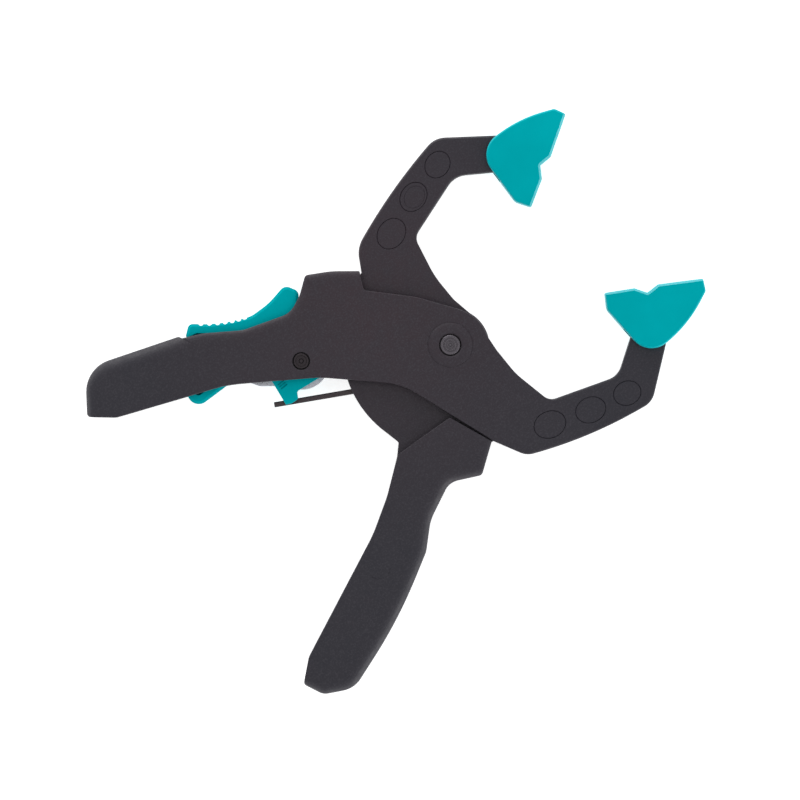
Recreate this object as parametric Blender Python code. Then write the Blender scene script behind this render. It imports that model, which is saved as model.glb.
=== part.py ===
"""Locking spring clamp for model making, about 170 mm long, lying on its side.

Frame: the clamp lies flat, +Z up along the main pivot, +X along its centre line towards the jaws.
The origin is where the main pivot's axis meets the surface that the clamp lies on.
Outlines are written in millimetres in the clamp's own plane, and made to metres when a mesh is built.
"""

import bpy
import bmesh
from math import acos, atan2, ceil, cos, degrees, hypot, pi, radians, sin, sqrt, tan
from mathutils import Vector

MM = 0.001

# Heights, measured from the clamp's middle plane
MID_HEIGHT = 8.0            # middle plane above the surface that the clamp lies on
LEVER_HALF = 8.0            # half thickness of both handles and of the fork's cheeks
PLATE_HALF = 5.0            # half thickness of the inner lever's plate and of both jaw tips
FORK_HALF = 5.35            # half width of the fork between the cheeks
PAD_HALF = 8.0              # half width of a jaw pad
PAD_SLOT_HALF = 5.4         # half width of the slot that takes the jaw tip
TRIGGER_HALF = 4.9          # half width of the release lever and the locking foot

# Main pivot
HUB_RADIUS = 11.15
PLATE_HUB_RADIUS = 11.45    # the plate shows a little beyond the cheeks
HUB_MIDDLE = (0.0, -0.6)    # the hub's round front lies a little below the pivot
DISC_RADIUS = 32.6          # round back edge of the inner lever's plate
WEB_RADIUS = 33.0           # the outer lever's web clears the disc
PIVOT_SHANK = 2.0
PIVOT_HEAD = 3.0
PIVOT_HEAD_RECESS = 3.35
FRONT_FLOOR = 6.8           # floors of the recesses that take the rivets' heads
REAR_FLOOR = 6.4
REAR_HEAD = 7.4             # underside of the closed heads at the back, over their washers
WASHER_LOW = 6.7
WASHER_HIGH = 7.1
BOSS_RADIUS = 6.6
BOSS_RISE = 0.35
SLEEVE_INNER = 2.3
SLEEVE_OUTER = 3.0
HUB_BORE = 3.3
CLOSING_ANGLE = radians(40.0)

# Opening spring round the sleeve
SPRING_WIRE = 0.6
SPRING_RADIUS = 3.9
SPRING_POCKET = 4.8
SPRING_TURNS = 3.0
SPRING_TOP = -0.8
SPRING_BOTTOM = -4.5
SPRING_LEG_ANGLE = radians(60.0)

# Locking strip: it runs straight through the foot, and its eye rides on the anchor pin
STRIP_ANGLE = radians(150.7)
STRIP_OFFSET = 8.83         # distance of the strip's middle line from the main pivot
STRIP_BOW = 0.28            # half of what the anchor's arc bows away from a straight line
STRIP_THICK_HALF = 0.8
STRIP_WIDTH_HALF = 2.5
STRIP_SLOT_HALF = 2.9
STRIP_END = 58.3            # from the eye to the strip's free end
EYE_RADIUS = 2.65
EYE_HOLE = 1.65
EYE_POCKET = 3.25
ANCHOR_RADIUS = 1.1
ANCHOR_BORE = 1.4

# Release lever, locking foot and lock plates, all on the release pin
RELEASE_PIN = (-37.8, 24.4)
RELEASE_SHANK = 1.5
RELEASE_BORE = 1.8
RELEASE_HEAD = 2.4
RELEASE_HEAD_RECESS = 2.7
WEB_HALF = 1.1
PLATE_INNER = 1.4
PLATE_OUTER = 2.7
FOOT_WALL_INNER = 3.0
LOCK_RIVET = (-43.9, 27.9)
LOCK_RIVET_RADIUS = 0.9
LOCK_RIVET_BORE = 1.2
PLATE_DISC = 8.6

# Release spring, from a seat in the outer lever to the release lever
RELEASE_SPRING_FOOT = (-24.55, 30.75)
RELEASE_SPRING_HEAD = (-29.30, 36.65)
RELEASE_SPRING_RADIUS = 1.9
RELEASE_SPRING_WIRE = 0.3
RELEASE_SPRING_TURNS = 5.5

# Jaw pads
PAD_PIN = (52.5, 31.0)      # in the pad outline's own place
UPPER_PAD_SHIFT = (-0.45, -0.05)
LOWER_PAD_SHIFT = (0.50, -0.15)
PAD_PIN_RADIUS = 1.6
PAD_PIN_BORE = 1.9
PAD_PIN_HALF = 7.2
PAD_BORE_HALF = 7.5

# The lower jaw thins from the cheeks' height to the jaw tips' along this direction
TAPER_DIRECTION = Vector((0.7071, -0.7071, 0.0))
TAPER_START = 16.0
TAPER_END = 46.0

ARC_TOLERANCE = 0.06        # how far a flat may lie from its true arc

# Bevel widths along the outlines' edges
SOFT = 3.6                  # rounded palm side of the handles
THROAT = 1.3                # chamfer round the throat
HUMP = 1.2                  # raised back over the fork
EDGE = 0.9                  # jaws
CRISP = 0.45                # moulded edges


# Outlines ---------------------------------------------------------------------------------------
# A corner is (x, y, fillet radius, bevel width of the edge that starts there).

def arc(centre, radius, start, end, pieces, bevel=CRISP):
    """Corners round a circle from one angle to another, in degrees, with sharp ends."""
    step = radians(end - start) / pieces
    first = radians(start)
    reach = radius / cos(step / 2)
    corners = [(centre[0] + radius * cos(first), centre[1] + radius * sin(first), 0.0, bevel)]
    for index in range(pieces):
        angle = first + step * (index + 0.5)
        corners.append((centre[0] + reach * cos(angle), centre[1] + reach * sin(angle), radius, bevel))
    last = radians(end)
    corners.append((centre[0] + radius * cos(last), centre[1] + radius * sin(last), 0.0, bevel))
    return corners


def mirrored(corners):
    """The same outline on the other side of the centre line, walked in the same sense."""
    count = len(corners)
    result = []
    for index in range(count - 1, -1, -1):
        x, y, radius, _ = corners[index]
        result.append((x, -y, radius, corners[index - 1][3]))
    return result


def upper_jaw():
    """Upper jaw from the knuckle at the fork, round the tongue inside the pad, to the throat."""
    return [
        (-3.35, 40.25, 10.0, EDGE),
        (15.50, 47.65, 200.0, EDGE),
        (35.50, 51.30, 8.0, EDGE),
        (52.00, 39.00, 3.0, CRISP),
        (57.12, 29.66, 3.7, CRISP),
        (50.76, 25.88, 3.7, CRISP),
        (44.45, 31.05, 3.0, EDGE),
        (33.00, 38.64, 7.0, EDGE),
        (12.05, 31.85, 4.0, THROAT),
        (9.35, 19.00, 30.0, THROAT),
        (9.42, 10.00, 8.0, THROAT),
    ]


def lower_jaw():
    """Lower jaw from the throat, round the tongue inside the pad, to the knuckle."""
    return [
        (9.85, -10.00, 8.0, THROAT),
        (9.85, -19.00, 22.0, THROAT),
        (12.60, -31.75, 4.0, EDGE),
        (33.40, -39.00, 6.0, EDGE),
        (45.10, -31.35, 3.0, CRISP),
        (51.71, -26.08, 3.7, CRISP),
        (58.07, -29.86, 3.7, CRISP),
        (52.65, -38.95, 3.0, EDGE),
        (36.35, -51.55, 8.0, EDGE),
        (14.30, -47.85, 200.0, EDGE),
        (-3.05, -40.25, 9.0, CRISP),
    ]


def outer_lever_outline():
    """Lower jaw, hub, upper handle and the hump over the fork."""
    return (
        arc(HUB_MIDDLE, HUB_RADIUS, 20.0, -22.0, 2, THROAT)
        + lower_jaw()
        + [
            (-7.90, -31.00, 0.6, CRISP),
            (-18.85, 0.20, 22.0, CRISP),
            (-36.60, 17.10, 30.0, CRISP),
            (-59.60, 32.80, 40.0, CRISP),
            (-91.80, 46.20, 3.0, CRISP),
            (-98.40, 51.75, 1.2, SOFT),
            (-89.60, 63.55, 10.0, SOFT),
            (-61.90, 53.30, 0.4, CRISP),
            (-61.40, 52.25, 0.6, HUMP),
            (-55.60, 49.45, 10.0, HUMP),
            (-45.60, 42.60, 10.0, HUMP),
            (-31.30, 37.60, 7.0, HUMP),
            (-25.80, 40.00, 8.0, HUMP),
            (-20.70, 43.70, 1.4, HUMP),
            (-13.75, 39.65, 30.0, HUMP),
            (-7.25, 34.40, 0.4, CRISP),
            (-9.80, 29.10, 1.3, THROAT),
            (1.20, 17.60, 22.0, THROAT),
            (9.35, 5.90, 2.0, THROAT),
        ]
    )


def fork_outline():
    """Space between the cheeks: the fork, the handle's channel and the release lever's opening."""
    return [
        (13.50, -8.50, 0.0, 0.0),
        (7.80, -9.90, 1.5, 0.0),
        (-4.20, -30.00, 1.0, 0.0),
        (-9.00, -32.40, 0.0, 0.0),
        (-45.00, -20.00, 0.0, 0.0),
        (-95.00, 30.00, 0.0, 0.0),
        (-88.60, 41.00, 0.0, 0.0),
        (-90.20, 51.20, 4.0, 0.0),
        (-86.80, 59.85, 7.0, 0.0),
        (-62.90, 50.90, 0.8, 0.0),
        (-62.30, 56.50, 0.0, 0.0),
        (-24.20, 52.00, 0.0, 0.0),
        (-23.60, 43.50, 0.0, 0.0),
        (-21.40, 35.60, 1.0, 0.0),
        (-21.90, 32.30, 0.3, 0.0),
        (-26.70, 28.45, 0.3, 0.0),
    ] + arc((0.0, 0.0), WEB_RADIUS, 136.0, 107.0, 2, 0.0) + [
        (-9.40, 33.80, 0.2, 0.0),
        (-6.00, 34.20, 0.0, 0.0),
        (16.00, 30.00, 0.0, 0.0),
        (22.00, 0.00, 0.0, 0.0),
    ]


def inner_plate_outline():
    """Upper jaw, hub and round plate of the inner lever, all at one thickness."""
    return (
        [(-8.95, 33.25, 0.3, CRISP), (-7.10, 33.60, 0.3, EDGE)]
        + upper_jaw()
        + arc(HUB_MIDDLE, PLATE_HUB_RADIUS, 22.0, -45.0, 2, THROAT)
        + [
            (-4.60, -29.20, 1.0, CRISP),
            (-7.60, -30.70, 0.3, CRISP),
            (-8.90, -30.50, 0.2, CRISP),
            (-12.00, -30.30, 0.0, CRISP),
            (-26.00, -27.00, 0.0, CRISP),
            (-34.45, -16.95, 0.0, CRISP),
            (-30.45, -12.95, 0.9, CRISP),
        ]
        + arc((0.0, 0.0), DISC_RADIUS, 191.0, 106.2, 3, CRISP)
    )


def inner_handle_outline():
    """Raised body of the lower handle, from the step beside the plate to its tip."""
    return [
        (-33.05, -15.70, 0.3, CRISP),
        (-24.00, -16.10, 30.0, CRISP),
        (-13.80, -16.80, 1.0, CRISP),
        (-8.50, -30.30, 0.3, HUMP),
        (-17.20, -36.40, 1.4, SOFT),
        (-26.20, -31.90, 5.5, SOFT),
        (-37.70, -37.20, 14.0, SOFT),
        (-44.70, -43.75, 6.0, SOFT),
        (-64.00, -54.35, 150.0, SOFT),
        (-87.30, -62.05, 8.0, SOFT),
        (-95.60, -57.60, 4.0, SOFT),
        (-98.35, -51.45, 1.2, CRISP),
        (-92.00, -46.10, 3.0, CRISP),
        (-54.00, -29.75, 40.0, CRISP),
        (-43.50, -23.50, 25.0, CRISP),
    ]


def inner_channel_outline():
    """Hollow of the lower handle, open towards the upper one."""
    return [
        (-88.60, -41.00, 0.0, 0.0),
        (-90.20, -51.20, 4.0, 0.0),
        (-86.80, -58.60, 7.0, 0.0),
        (-63.60, -51.10, 60.0, 0.0),
        (-46.60, -42.20, 6.0, 0.0),
        (-41.00, -36.00, 7.0, 0.0),
        (-34.60, -32.20, 2.0, 0.0),
        (-36.60, -24.60, 2.0, 0.0),
        (-42.00, -14.00, 0.0, 0.0),
    ]


def pad_outline():
    """Upper jaw pad: flat face with its vee towards the other pad, rounded back."""
    return [
        (45.40, 16.90, 0.4, 0.7),
        (53.20, 21.40, 0.3, 0.7),
        (55.40, 24.95, 0.3, 0.7),
        (59.50, 25.00, 0.3, 0.7),
        (71.05, 32.10, 0.5, 1.3),
        (69.35, 35.55, 1.6, 1.3),
        (58.50, 40.20, 40.0, 1.3),
        (43.50, 40.20, 7.0, 1.3),
        (42.70, 21.20, 3.0, 1.3),
    ]


def pad_slot_outline():
    """Slot in the upper pad, wide enough for the pad to swing on the jaw tip."""
    return [
        (39.50, 29.20, 0.0, 0.0),
        (46.20, 28.60, 2.0, 0.0),
        (51.06, 25.38, 4.1, 0.0),
        (58.12, 29.56, 4.1, 0.0),
        (51.30, 41.60, 0.0, 0.0),
        (50.00, 46.00, 0.0, 0.0),
        (39.50, 46.00, 0.0, 0.0),
    ]


def on_jaw(corners, side):
    """An outline drawn for the upper jaw, put on the upper jaw (1) or the lower one (-1)."""
    shift = UPPER_PAD_SHIFT if side > 0 else LOWER_PAD_SHIFT
    walked = corners if side > 0 else mirrored(corners)
    return [(x + shift[0], y + shift[1], radius, bevel) for x, y, radius, bevel in walked]


def pad_pin_place(side):
    """Centre of the pad pin in the upper jaw (1) or the lower one (-1)."""
    shift = UPPER_PAD_SHIFT if side > 0 else LOWER_PAD_SHIFT
    return PAD_PIN[0] + shift[0], side * PAD_PIN[1] + shift[1]


def thumb_outline():
    """Release lever's thumb piece, seated between the cheeks."""
    return [
        (-60.40, 51.80, 0.4, 0.6),
        (-57.05, 54.35, 1.5, 0.6),
        (-50.60, 48.90, 40.0, 0.6),
        (-41.20, 44.30, 8.0, 0.6),
        (-34.50, 44.00, 22.0, 0.6),
        (-27.40, 45.30, 2.4, 0.6),
        (-25.25, 41.30, 1.8, 0.6),
        (-27.40, 38.75, 0.3, 0.3),
        (-31.40, 35.50, 0.3, 0.3),
        (-33.60, 35.60, 1.0, 0.3),
        (-46.00, 41.00, 4.0, 0.3),
        (-56.90, 50.60, 1.0, 0.3),
        (-59.50, 51.25, 0.3, 0.3),
    ]


def trigger_web_outline():
    """Thin web that joins the thumb piece, the hub on the release pin and the finger loop."""
    return [
        (-58.00, 51.80, 0.5, 0.0),
        (-45.00, 43.00, 3.0, 0.0),
        (-31.00, 40.00, 2.0, 0.0),
        (-31.80, 30.00, 4.0, 0.0),
        (-32.60, 19.60, 4.0, 0.0),
        (-41.60, 19.60, 4.0, 0.0),
        (-47.00, 29.20, 4.0, 0.0),
        (-58.60, 33.60, 1.5, 0.0),
        (-69.90, 33.90, 2.0, 0.0),
        (-70.20, 39.20, 1.0, 0.0),
        (-62.20, 47.40, 3.0, 0.0),
    ]


def loop_outline():
    """Rim of the finger loop that hangs below the upper handle."""
    return [
        (-70.70, 39.80, 0.3, 0.5),
        (-71.60, 33.15, 3.3, 0.5),
        (-58.60, 32.70, 0.5, 0.3),
        (-58.60, 35.20, 0.5, 0.3),
        (-68.80, 35.70, 1.2, 0.3),
        (-68.40, 39.80, 0.3, 0.3),
    ]


def lock_plate_outline():
    """Steel plate: round about the release pin, with an arm up the handle's channel."""
    return arc(RELEASE_PIN, PLATE_DISC, 115.0, -158.0, 4, 0.15) + [
        (-52.35, 26.35, 3.0, 0.15),
        (-55.70, 31.90, 1.5, 0.15),
        (-56.60, 34.60, 2.0, 0.15),
        (-50.50, 38.60, 2.5, 0.15),
    ]


def foot_outline():
    """Side wall of the locking foot, from the release pin down to the strip."""
    return [
        (-49.65, 17.10, 0.4, 0.3),
        (-48.35, 26.20, 0.5, 0.3),
        (-46.60, 31.60, 2.0, 0.3),
        (-35.00, 31.60, 4.5, 0.3),
        (-31.20, 21.60, 3.0, 0.3),
        (-36.50, 17.05, 0.3, 0.3),
        (-44.55, 18.15, 0.8, 0.3),
        (-45.75, 16.15, 0.7, 0.3),
        (-48.00, 16.30, 0.8, 0.3),
    ]


# Meshes -----------------------------------------------------------------------------------------

def unit(dx, dy):
    length = hypot(dx, dy)
    return dx / length, dy / length


def signed_area(corners):
    total = 0.0
    for index, corner in enumerate(corners):
        before = corners[index - 1]
        total += before[0] * corner[1] - corner[0] * before[1]
    return total / 2


def anticlockwise(corners):
    """The outline walked anticlockwise, so its inside is always on the left."""
    if signed_area(corners) > 0:
        return list(corners)
    result = []
    for index in range(len(corners) - 1, -1, -1):
        x, y, radius, _ = corners[index]
        result.append((x, y, radius, corners[index - 1][3]))
    return result


def inset(corners, share):
    """Every edge moved inwards by that share of its own bevel width."""
    count = len(corners)
    moved = []
    for index in range(count):
        x, y, radius, bevel_out = corners[index]
        before = corners[index - 1]
        after = corners[(index + 1) % count]
        in_x, in_y = unit(x - before[0], y - before[1])
        out_x, out_y = unit(after[0] - x, after[1] - y)
        shift_in = before[3] * share
        shift_out = bevel_out * share
        turn = in_x * out_y - in_y * out_x
        if abs(turn) < 0.02:
            shift = (shift_in + shift_out) / 2
            moved.append((x - in_y * shift, y + in_x * shift, radius, bevel_out))
            continue
        level_in = -in_y * x + in_x * y + shift_in
        level_out = -out_y * x + out_x * y + shift_out
        new_x = (level_in * out_x - level_out * in_x) / turn
        new_y = (level_in * out_y - level_out * in_y) / turn
        change = (shift_in + shift_out) / 2
        new_radius = radius - change if turn > 0 else radius + change
        new_radius = max(new_radius, 0.3 * radius) if radius else 0.0
        moved.append((new_x, new_y, new_radius, bevel_out))
    return moved


def corner_turn(corners, index):
    """Signed turn at a corner, in radians, positive to the left."""
    x, y = corners[index][:2]
    before = corners[index - 1]
    after = corners[(index + 1) % len(corners)]
    in_x, in_y = unit(x - before[0], y - before[1])
    out_x, out_y = unit(after[0] - x, after[1] - y)
    return atan2(in_x * out_y - in_y * out_x, in_x * out_x + in_y * out_y)


def fillet_steps(corners, tolerance):
    """How many flats each corner's arc gets."""
    steps = []
    for index, corner in enumerate(corners):
        radius = corner[2]
        turn = abs(corner_turn(corners, index))
        if radius <= 0.0 or turn < 0.01:
            steps.append(0)
            continue
        flat = 2 * acos(max(1 - tolerance / radius, 0.6))
        steps.append(max(2, ceil(turn / flat)))
    return steps


def fillet_reaches(corners):
    """How far each fillet eats into its edges, shared out where two would meet."""
    count = len(corners)
    reaches = []
    for index, corner in enumerate(corners):
        reaches.append(corner[2] * tan(abs(corner_turn(corners, index)) / 2))
    scales = [1.0] * count
    for index in range(count):
        following = (index + 1) % count
        length = hypot(corners[following][0] - corners[index][0], corners[following][1] - corners[index][1])
        wanted = reaches[index] + reaches[following]
        if wanted > length:
            share = length / wanted * 0.9995
            scales[index] = min(scales[index], share)
            scales[following] = min(scales[following], share)
    return [reach * scale for reach, scale in zip(reaches, scales)]


def rounded(corners, steps):
    """Points along the outline, with every filleted corner as an arc."""
    reaches = fillet_reaches(corners)
    points = []
    for index, corner in enumerate(corners):
        x, y = corner[:2]
        if not steps[index]:
            points.append((x, y))
            continue
        before = corners[index - 1]
        in_x, in_y = unit(x - before[0], y - before[1])
        turn = corner_turn(corners, index)
        reach = reaches[index]
        radius = reach / max(tan(abs(turn) / 2), 1e-6)
        side = 1.0 if turn > 0 else -1.0
        centre_x = x - in_x * reach - in_y * radius * side
        centre_y = y - in_y * reach + in_x * radius * side
        start = atan2(y - in_y * reach - centre_y, x - in_x * reach - centre_x)
        for step in range(steps[index] + 1):
            angle = start + turn * step / steps[index]
            points.append((centre_x + radius * cos(angle), centre_y + radius * sin(angle)))
    return points


def skin(rings):
    """Closed mesh through rings of points, each a list of (x, y, z) in millimetres."""
    mesh = bmesh.new()
    rows = [[mesh.verts.new((x * MM, y * MM, z * MM)) for x, y, z in ring] for ring in rings]
    count = len(rows[0])
    for lower, upper in zip(rows[:-1], rows[1:]):
        for index in range(count):
            following = (index + 1) % count
            mesh.faces.new((lower[index], lower[following], upper[following], upper[index]))
    mesh.faces.new(list(reversed(rows[0])))
    mesh.faces.new(rows[-1])
    return mesh


def slab(name, corners, low, high, bevel=0.0, bevel_steps=2, tolerance=ARC_TOLERANCE):
    """Object with that outline between two heights, its rims rounded over the bevel depth."""
    corners = anticlockwise(corners)
    steps = fillet_steps(corners, tolerance)
    levels = [(low, 0.0), (high, 0.0)]
    if bevel > 0.0:
        angles = [pi / 2 * step / bevel_steps for step in range(bevel_steps + 1)]
        rise = [(bevel * (1 - sin(angle)), 1 - cos(angle)) for angle in angles]
        levels = [(low + drop, share) for drop, share in reversed(rise)]
        levels += [(high - drop, share) for drop, share in rise]
    rings = []
    for height, share in levels:
        points = rounded(inset(corners, share), steps)
        rings.append([(x, y, height) for x, y in points])
    return object_from(name, skin(rings))


def disc(name, centre, radius, low, high, sides=24):
    """Round bar along Z."""
    rings = []
    for height in (low, high):
        ring = []
        for index in range(sides):
            angle = 2 * pi * index / sides
            ring.append((centre[0] + radius * cos(angle), centre[1] + radius * sin(angle), height))
        rings.append(ring)
    return object_from(name, skin(rings))


def turned(name, centre, profile, sides=28):
    """Solid turned about a Z axis from (radius, height) pairs, bottom to top."""
    rings = []
    for radius, height in profile:
        ring = []
        for index in range(sides):
            angle = 2 * pi * index / sides
            ring.append((centre[0] + radius * cos(angle), centre[1] + radius * sin(angle), height))
        rings.append(ring)
    return object_from(name, skin(rings))


def wire(name, path, radius, sides=8):
    """Round wire along a path of points, with flat ends."""
    rings = []
    normal = None
    for index, point in enumerate(path):
        before = path[max(index - 1, 0)]
        after = path[min(index + 1, len(path) - 1)]
        heading = (after - before).normalized()
        if normal is None:
            normal = heading.orthogonal().normalized()
        normal = (normal - heading * normal.dot(heading)).normalized()
        across = heading.cross(normal)
        ring = []
        for side in range(sides):
            angle = 2 * pi * side / sides
            spot = point + (normal * cos(angle) + across * sin(angle)) * radius
            ring.append((spot.x, spot.y, spot.z))
        rings.append(ring)
    return object_from(name, skin(rings))


def object_from(name, mesh):
    """New object in the scene from a bmesh, faces pointing out."""
    bmesh.ops.recalc_face_normals(mesh, faces=mesh.faces)
    data = bpy.data.meshes.new(name)
    mesh.to_mesh(data)
    mesh.free()
    item = bpy.data.objects.new(name, data)
    bpy.context.scene.collection.objects.link(item)
    return item


def combine(target, tool, operation):
    """Boolean one object with another, and remove the tool."""
    modifier = target.modifiers.new("combine", "BOOLEAN")
    modifier.operation = operation
    modifier.solver = "EXACT"
    modifier.object = tool
    graph = bpy.context.evaluated_depsgraph_get()
    result = bpy.data.meshes.new_from_object(target.evaluated_get(graph))
    target.modifiers.clear()
    old = target.data
    target.data = result
    bpy.data.meshes.remove(old)
    tool_mesh = tool.data
    bpy.data.objects.remove(tool)
    bpy.data.meshes.remove(tool_mesh)


def cut(target, *tools):
    for tool in tools:
        combine(target, tool, "DIFFERENCE")


def join(target, *tools):
    for tool in tools:
        combine(target, tool, "UNION")


def finish(item, material, origin=(0.0, 0.0)):
    """Tidy a mesh, put the object's origin on its axis and give it its material."""
    mesh = bmesh.new()
    mesh.from_mesh(item.data)
    bmesh.ops.remove_doubles(mesh, verts=mesh.verts, dist=0.000004)
    bmesh.ops.dissolve_degenerate(mesh, edges=mesh.edges, dist=0.000004)
    bmesh.ops.translate(mesh, verts=mesh.verts, vec=(-origin[0] * MM, -origin[1] * MM, 0.0))
    bmesh.ops.triangulate(mesh, faces=mesh.faces)
    mesh.to_mesh(item.data)
    mesh.free()
    item.location = (origin[0] * MM, origin[1] * MM, MID_HEIGHT * MM)
    item.data.materials.clear()
    item.data.materials.append(material)
    item.data.shade_smooth()
    item.data.set_sharp_from_angle(angle=radians(32.0))
    return item


def material(name, colour, roughness, metallic=0.0):
    item = bpy.data.materials.new(name)
    item.use_nodes = True
    shader = item.node_tree.nodes["Principled BSDF"]
    shader.inputs["Base Color"].default_value = (*colour, 1.0)
    shader.inputs["Roughness"].default_value = roughness
    shader.inputs["Metallic"].default_value = metallic
    item.diffuse_color = (*colour, 1.0)
    return item


def charcoal(name):
    """Glass-filled nylon of the two levers."""
    return material(name, (0.055, 0.052, 0.060), 0.55)


def teal(name):
    """Moulded pads, foot and release lever."""
    return material(name, (0.0, 0.38, 0.41), 0.42)


def zinc(name):
    """Zinc-plated pressed steel."""
    return material(name, (0.55, 0.56, 0.60), 0.35, 1.0)


def steel(name):
    """Turned steel of the pins and rivets."""
    return material(name, (0.30, 0.29, 0.31), 0.35, 1.0)


def dark_steel(name):
    """Blackened spring steel."""
    return material(name, (0.045, 0.038, 0.040), 0.45, 0.8)


# Parts ------------------------------------------------------------------------------------------

def thin_the_jaw(item):
    """Lower the jaw's faces evenly from the cheeks' height to the jaw tips' height."""
    mesh = bmesh.new()
    mesh.from_mesh(item.data)
    for reach in (TAPER_START, TAPER_END):
        geometry = list(mesh.verts) + list(mesh.edges) + list(mesh.faces)
        bmesh.ops.bisect_plane(mesh, geom=geometry, dist=0.0000005,
                               plane_co=TAPER_DIRECTION * reach * MM, plane_no=TAPER_DIRECTION)
    for vert in mesh.verts:
        along = vert.co.dot(TAPER_DIRECTION) / MM
        share = min(max((along - TAPER_START) / (TAPER_END - TAPER_START), 0.0), 1.0)
        if vert.co.x > -20 * MM and vert.co.y < 10 * MM:
            vert.co.z *= 1.0 - share * (1.0 - PLATE_HALF / LEVER_HALF)
    mesh.to_mesh(item.data)
    mesh.free()


def outer_lever():
    """Root piece: lower jaw, forked hub with two cheeks, and the upper handle."""
    body = slab("outer_lever", outer_lever_outline(), -LEVER_HALF, LEVER_HALF, 2.2)
    thin_the_jaw(body)
    join(body, disc("boss", (0.0, 0.0), BOSS_RADIUS, LEVER_HALF - 1.0, LEVER_HALF + BOSS_RISE, 36))
    cut(body, slab("fork", fork_outline(), -FORK_HALF, FORK_HALF))
    cut(body, disc("pivot_bore", (0.0, 0.0), SLEEVE_INNER, -12.0, 12.0))
    cut(body, disc("release_bore", RELEASE_PIN, RELEASE_BORE, -12.0, 12.0, 20))
    for low, high in ((-12.0, -REAR_FLOOR), (FRONT_FLOOR, 12.0)):
        cut(body, disc("pivot_recess", (0.0, 0.0), PIVOT_HEAD_RECESS, low, high, 28))
        cut(body, disc("release_recess", RELEASE_PIN, RELEASE_HEAD_RECESS, low, high, 24))
    cut(body, disc("pad_bore", pad_pin_place(-1), PAD_PIN_BORE, -12.0, 12.0, 20))
    spot = spring_fixed_end()
    cut(body, disc("spring_hole", (spot.x, spot.y), SPRING_WIRE + 0.35, -7.6, -4.0, 12))
    return finish(body, charcoal("outer_lever"))


def strip_line(distance, side=0.0):
    """Point that far along the locking strip from its eye, and that far to its pivot side."""
    along = Vector((cos(STRIP_ANGLE), sin(STRIP_ANGLE)))
    towards_pivot = Vector((sin(STRIP_ANGLE), -cos(STRIP_ANGLE)))
    behind = (STRIP_OFFSET - STRIP_BOW) * tan(CLOSING_ANGLE / 2)
    eye = -towards_pivot * STRIP_OFFSET - along * behind
    return eye + along * distance + towards_pivot * side


def anchor_point():
    """Anchor pin in the inner lever: it swings evenly to both sides of the strip's square line."""
    return strip_line(0.0, STRIP_BOW)


def strip_sweep_outline():
    """Sector that the strip sweeps inside the inner lever's plate as the clamp closes."""
    anchor = anchor_point()
    clear = STRIP_THICK_HALF + STRIP_BOW + 0.35
    open_angle = STRIP_ANGLE
    shut_angle = STRIP_ANGLE + CLOSING_ANGLE
    corners = []
    for angle, side, reach in ((open_angle, -1, 0.0), (open_angle, -1, 45.0),
                               (shut_angle, 1, 45.0), (shut_angle, 1, 0.0)):
        x = anchor.x + reach * cos(angle) - side * clear * sin(angle)
        y = anchor.y + reach * sin(angle) + side * clear * cos(angle)
        corners.append((x, y, 0.0, 0.0))
    return corners


def inner_lever():
    """Upper jaw, round plate inside the fork, and the lower handle."""
    body = slab("inner_lever", inner_plate_outline(), -PLATE_HALF, PLATE_HALF, 1.1)
    handle = slab("handle", inner_handle_outline(), -LEVER_HALF, LEVER_HALF, 2.2)
    cut(handle, slab("channel", inner_channel_outline(), -FORK_HALF, FORK_HALF))
    join(body, handle)
    anchor = anchor_point()
    cut(body, slab("strip_sweep", strip_sweep_outline(), -STRIP_SLOT_HALF, STRIP_SLOT_HALF))
    cut(body, disc("eye_pocket", anchor, EYE_POCKET, -STRIP_SLOT_HALF, STRIP_SLOT_HALF, 24))
    cut(body, disc("anchor_bore", anchor, ANCHOR_BORE, -12.0, 12.0, 16))
    cut(body, disc("hub_bore", (0.0, 0.0), HUB_BORE, -12.0, 12.0, 24))
    cut(body, disc("spring_pocket", (0.0, 0.0), SPRING_POCKET, -12.0, 0.1, 28))
    cut(body, spring_leg_slot())
    cut(body, disc("pad_bore", pad_pin_place(1), PAD_PIN_BORE, -12.0, 12.0, 20))
    return finish(body, charcoal("inner_lever"))


def spring_leg_slot():
    """Straight slot in the inner lever's back face for the spring's long leg."""
    along = Vector((cos(SPRING_LEG_ANGLE), sin(SPRING_LEG_ANGLE)))
    across = Vector((-along.y, along.x))
    root = -across * SPRING_RADIUS
    half = SPRING_WIRE + 0.4
    corners = []
    for reach, side in ((0.0, -half), (12.6, -half), (12.6, half), (0.0, half)):
        spot = root + along * reach + across * side
        corners.append((spot.x, spot.y, 0.0, 0.0))
    return slab("leg_slot", corners, -12.0, 0.1)


def spring_fixed_end():
    """Where the opening spring's short leg enters the back cheek."""
    angle = SPRING_LEG_ANGLE - pi / 2 - SPRING_TURNS * 2 * pi
    return Vector((SPRING_RADIUS * cos(angle), SPRING_RADIUS * sin(angle)))


def opening_spring():
    """Torsion spring: a leg in the inner lever, three coils, a leg in the back cheek."""
    along = Vector((cos(SPRING_LEG_ANGLE), sin(SPRING_LEG_ANGLE), 0.0))
    start = SPRING_LEG_ANGLE - pi / 2
    coil_start = Vector((SPRING_RADIUS * cos(start), SPRING_RADIUS * sin(start), SPRING_TOP))
    path = [coil_start + along * reach for reach in (12.0, 8.0, 4.0)]
    flats = int(18 * SPRING_TURNS)
    for index in range(flats + 1):
        share = index / flats
        angle = start - SPRING_TURNS * 2 * pi * share
        height = SPRING_TOP + (SPRING_BOTTOM - SPRING_TOP) * share
        path.append(Vector((SPRING_RADIUS * cos(angle), SPRING_RADIUS * sin(angle), height)))
    end = path[-1]
    path.append(Vector((end.x, end.y, SPRING_BOTTOM - 0.9)))
    path.append(Vector((end.x, end.y, -7.2)))
    return finish(wire("opening_spring", path, SPRING_WIRE, 6), dark_steel("opening_spring"))


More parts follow.
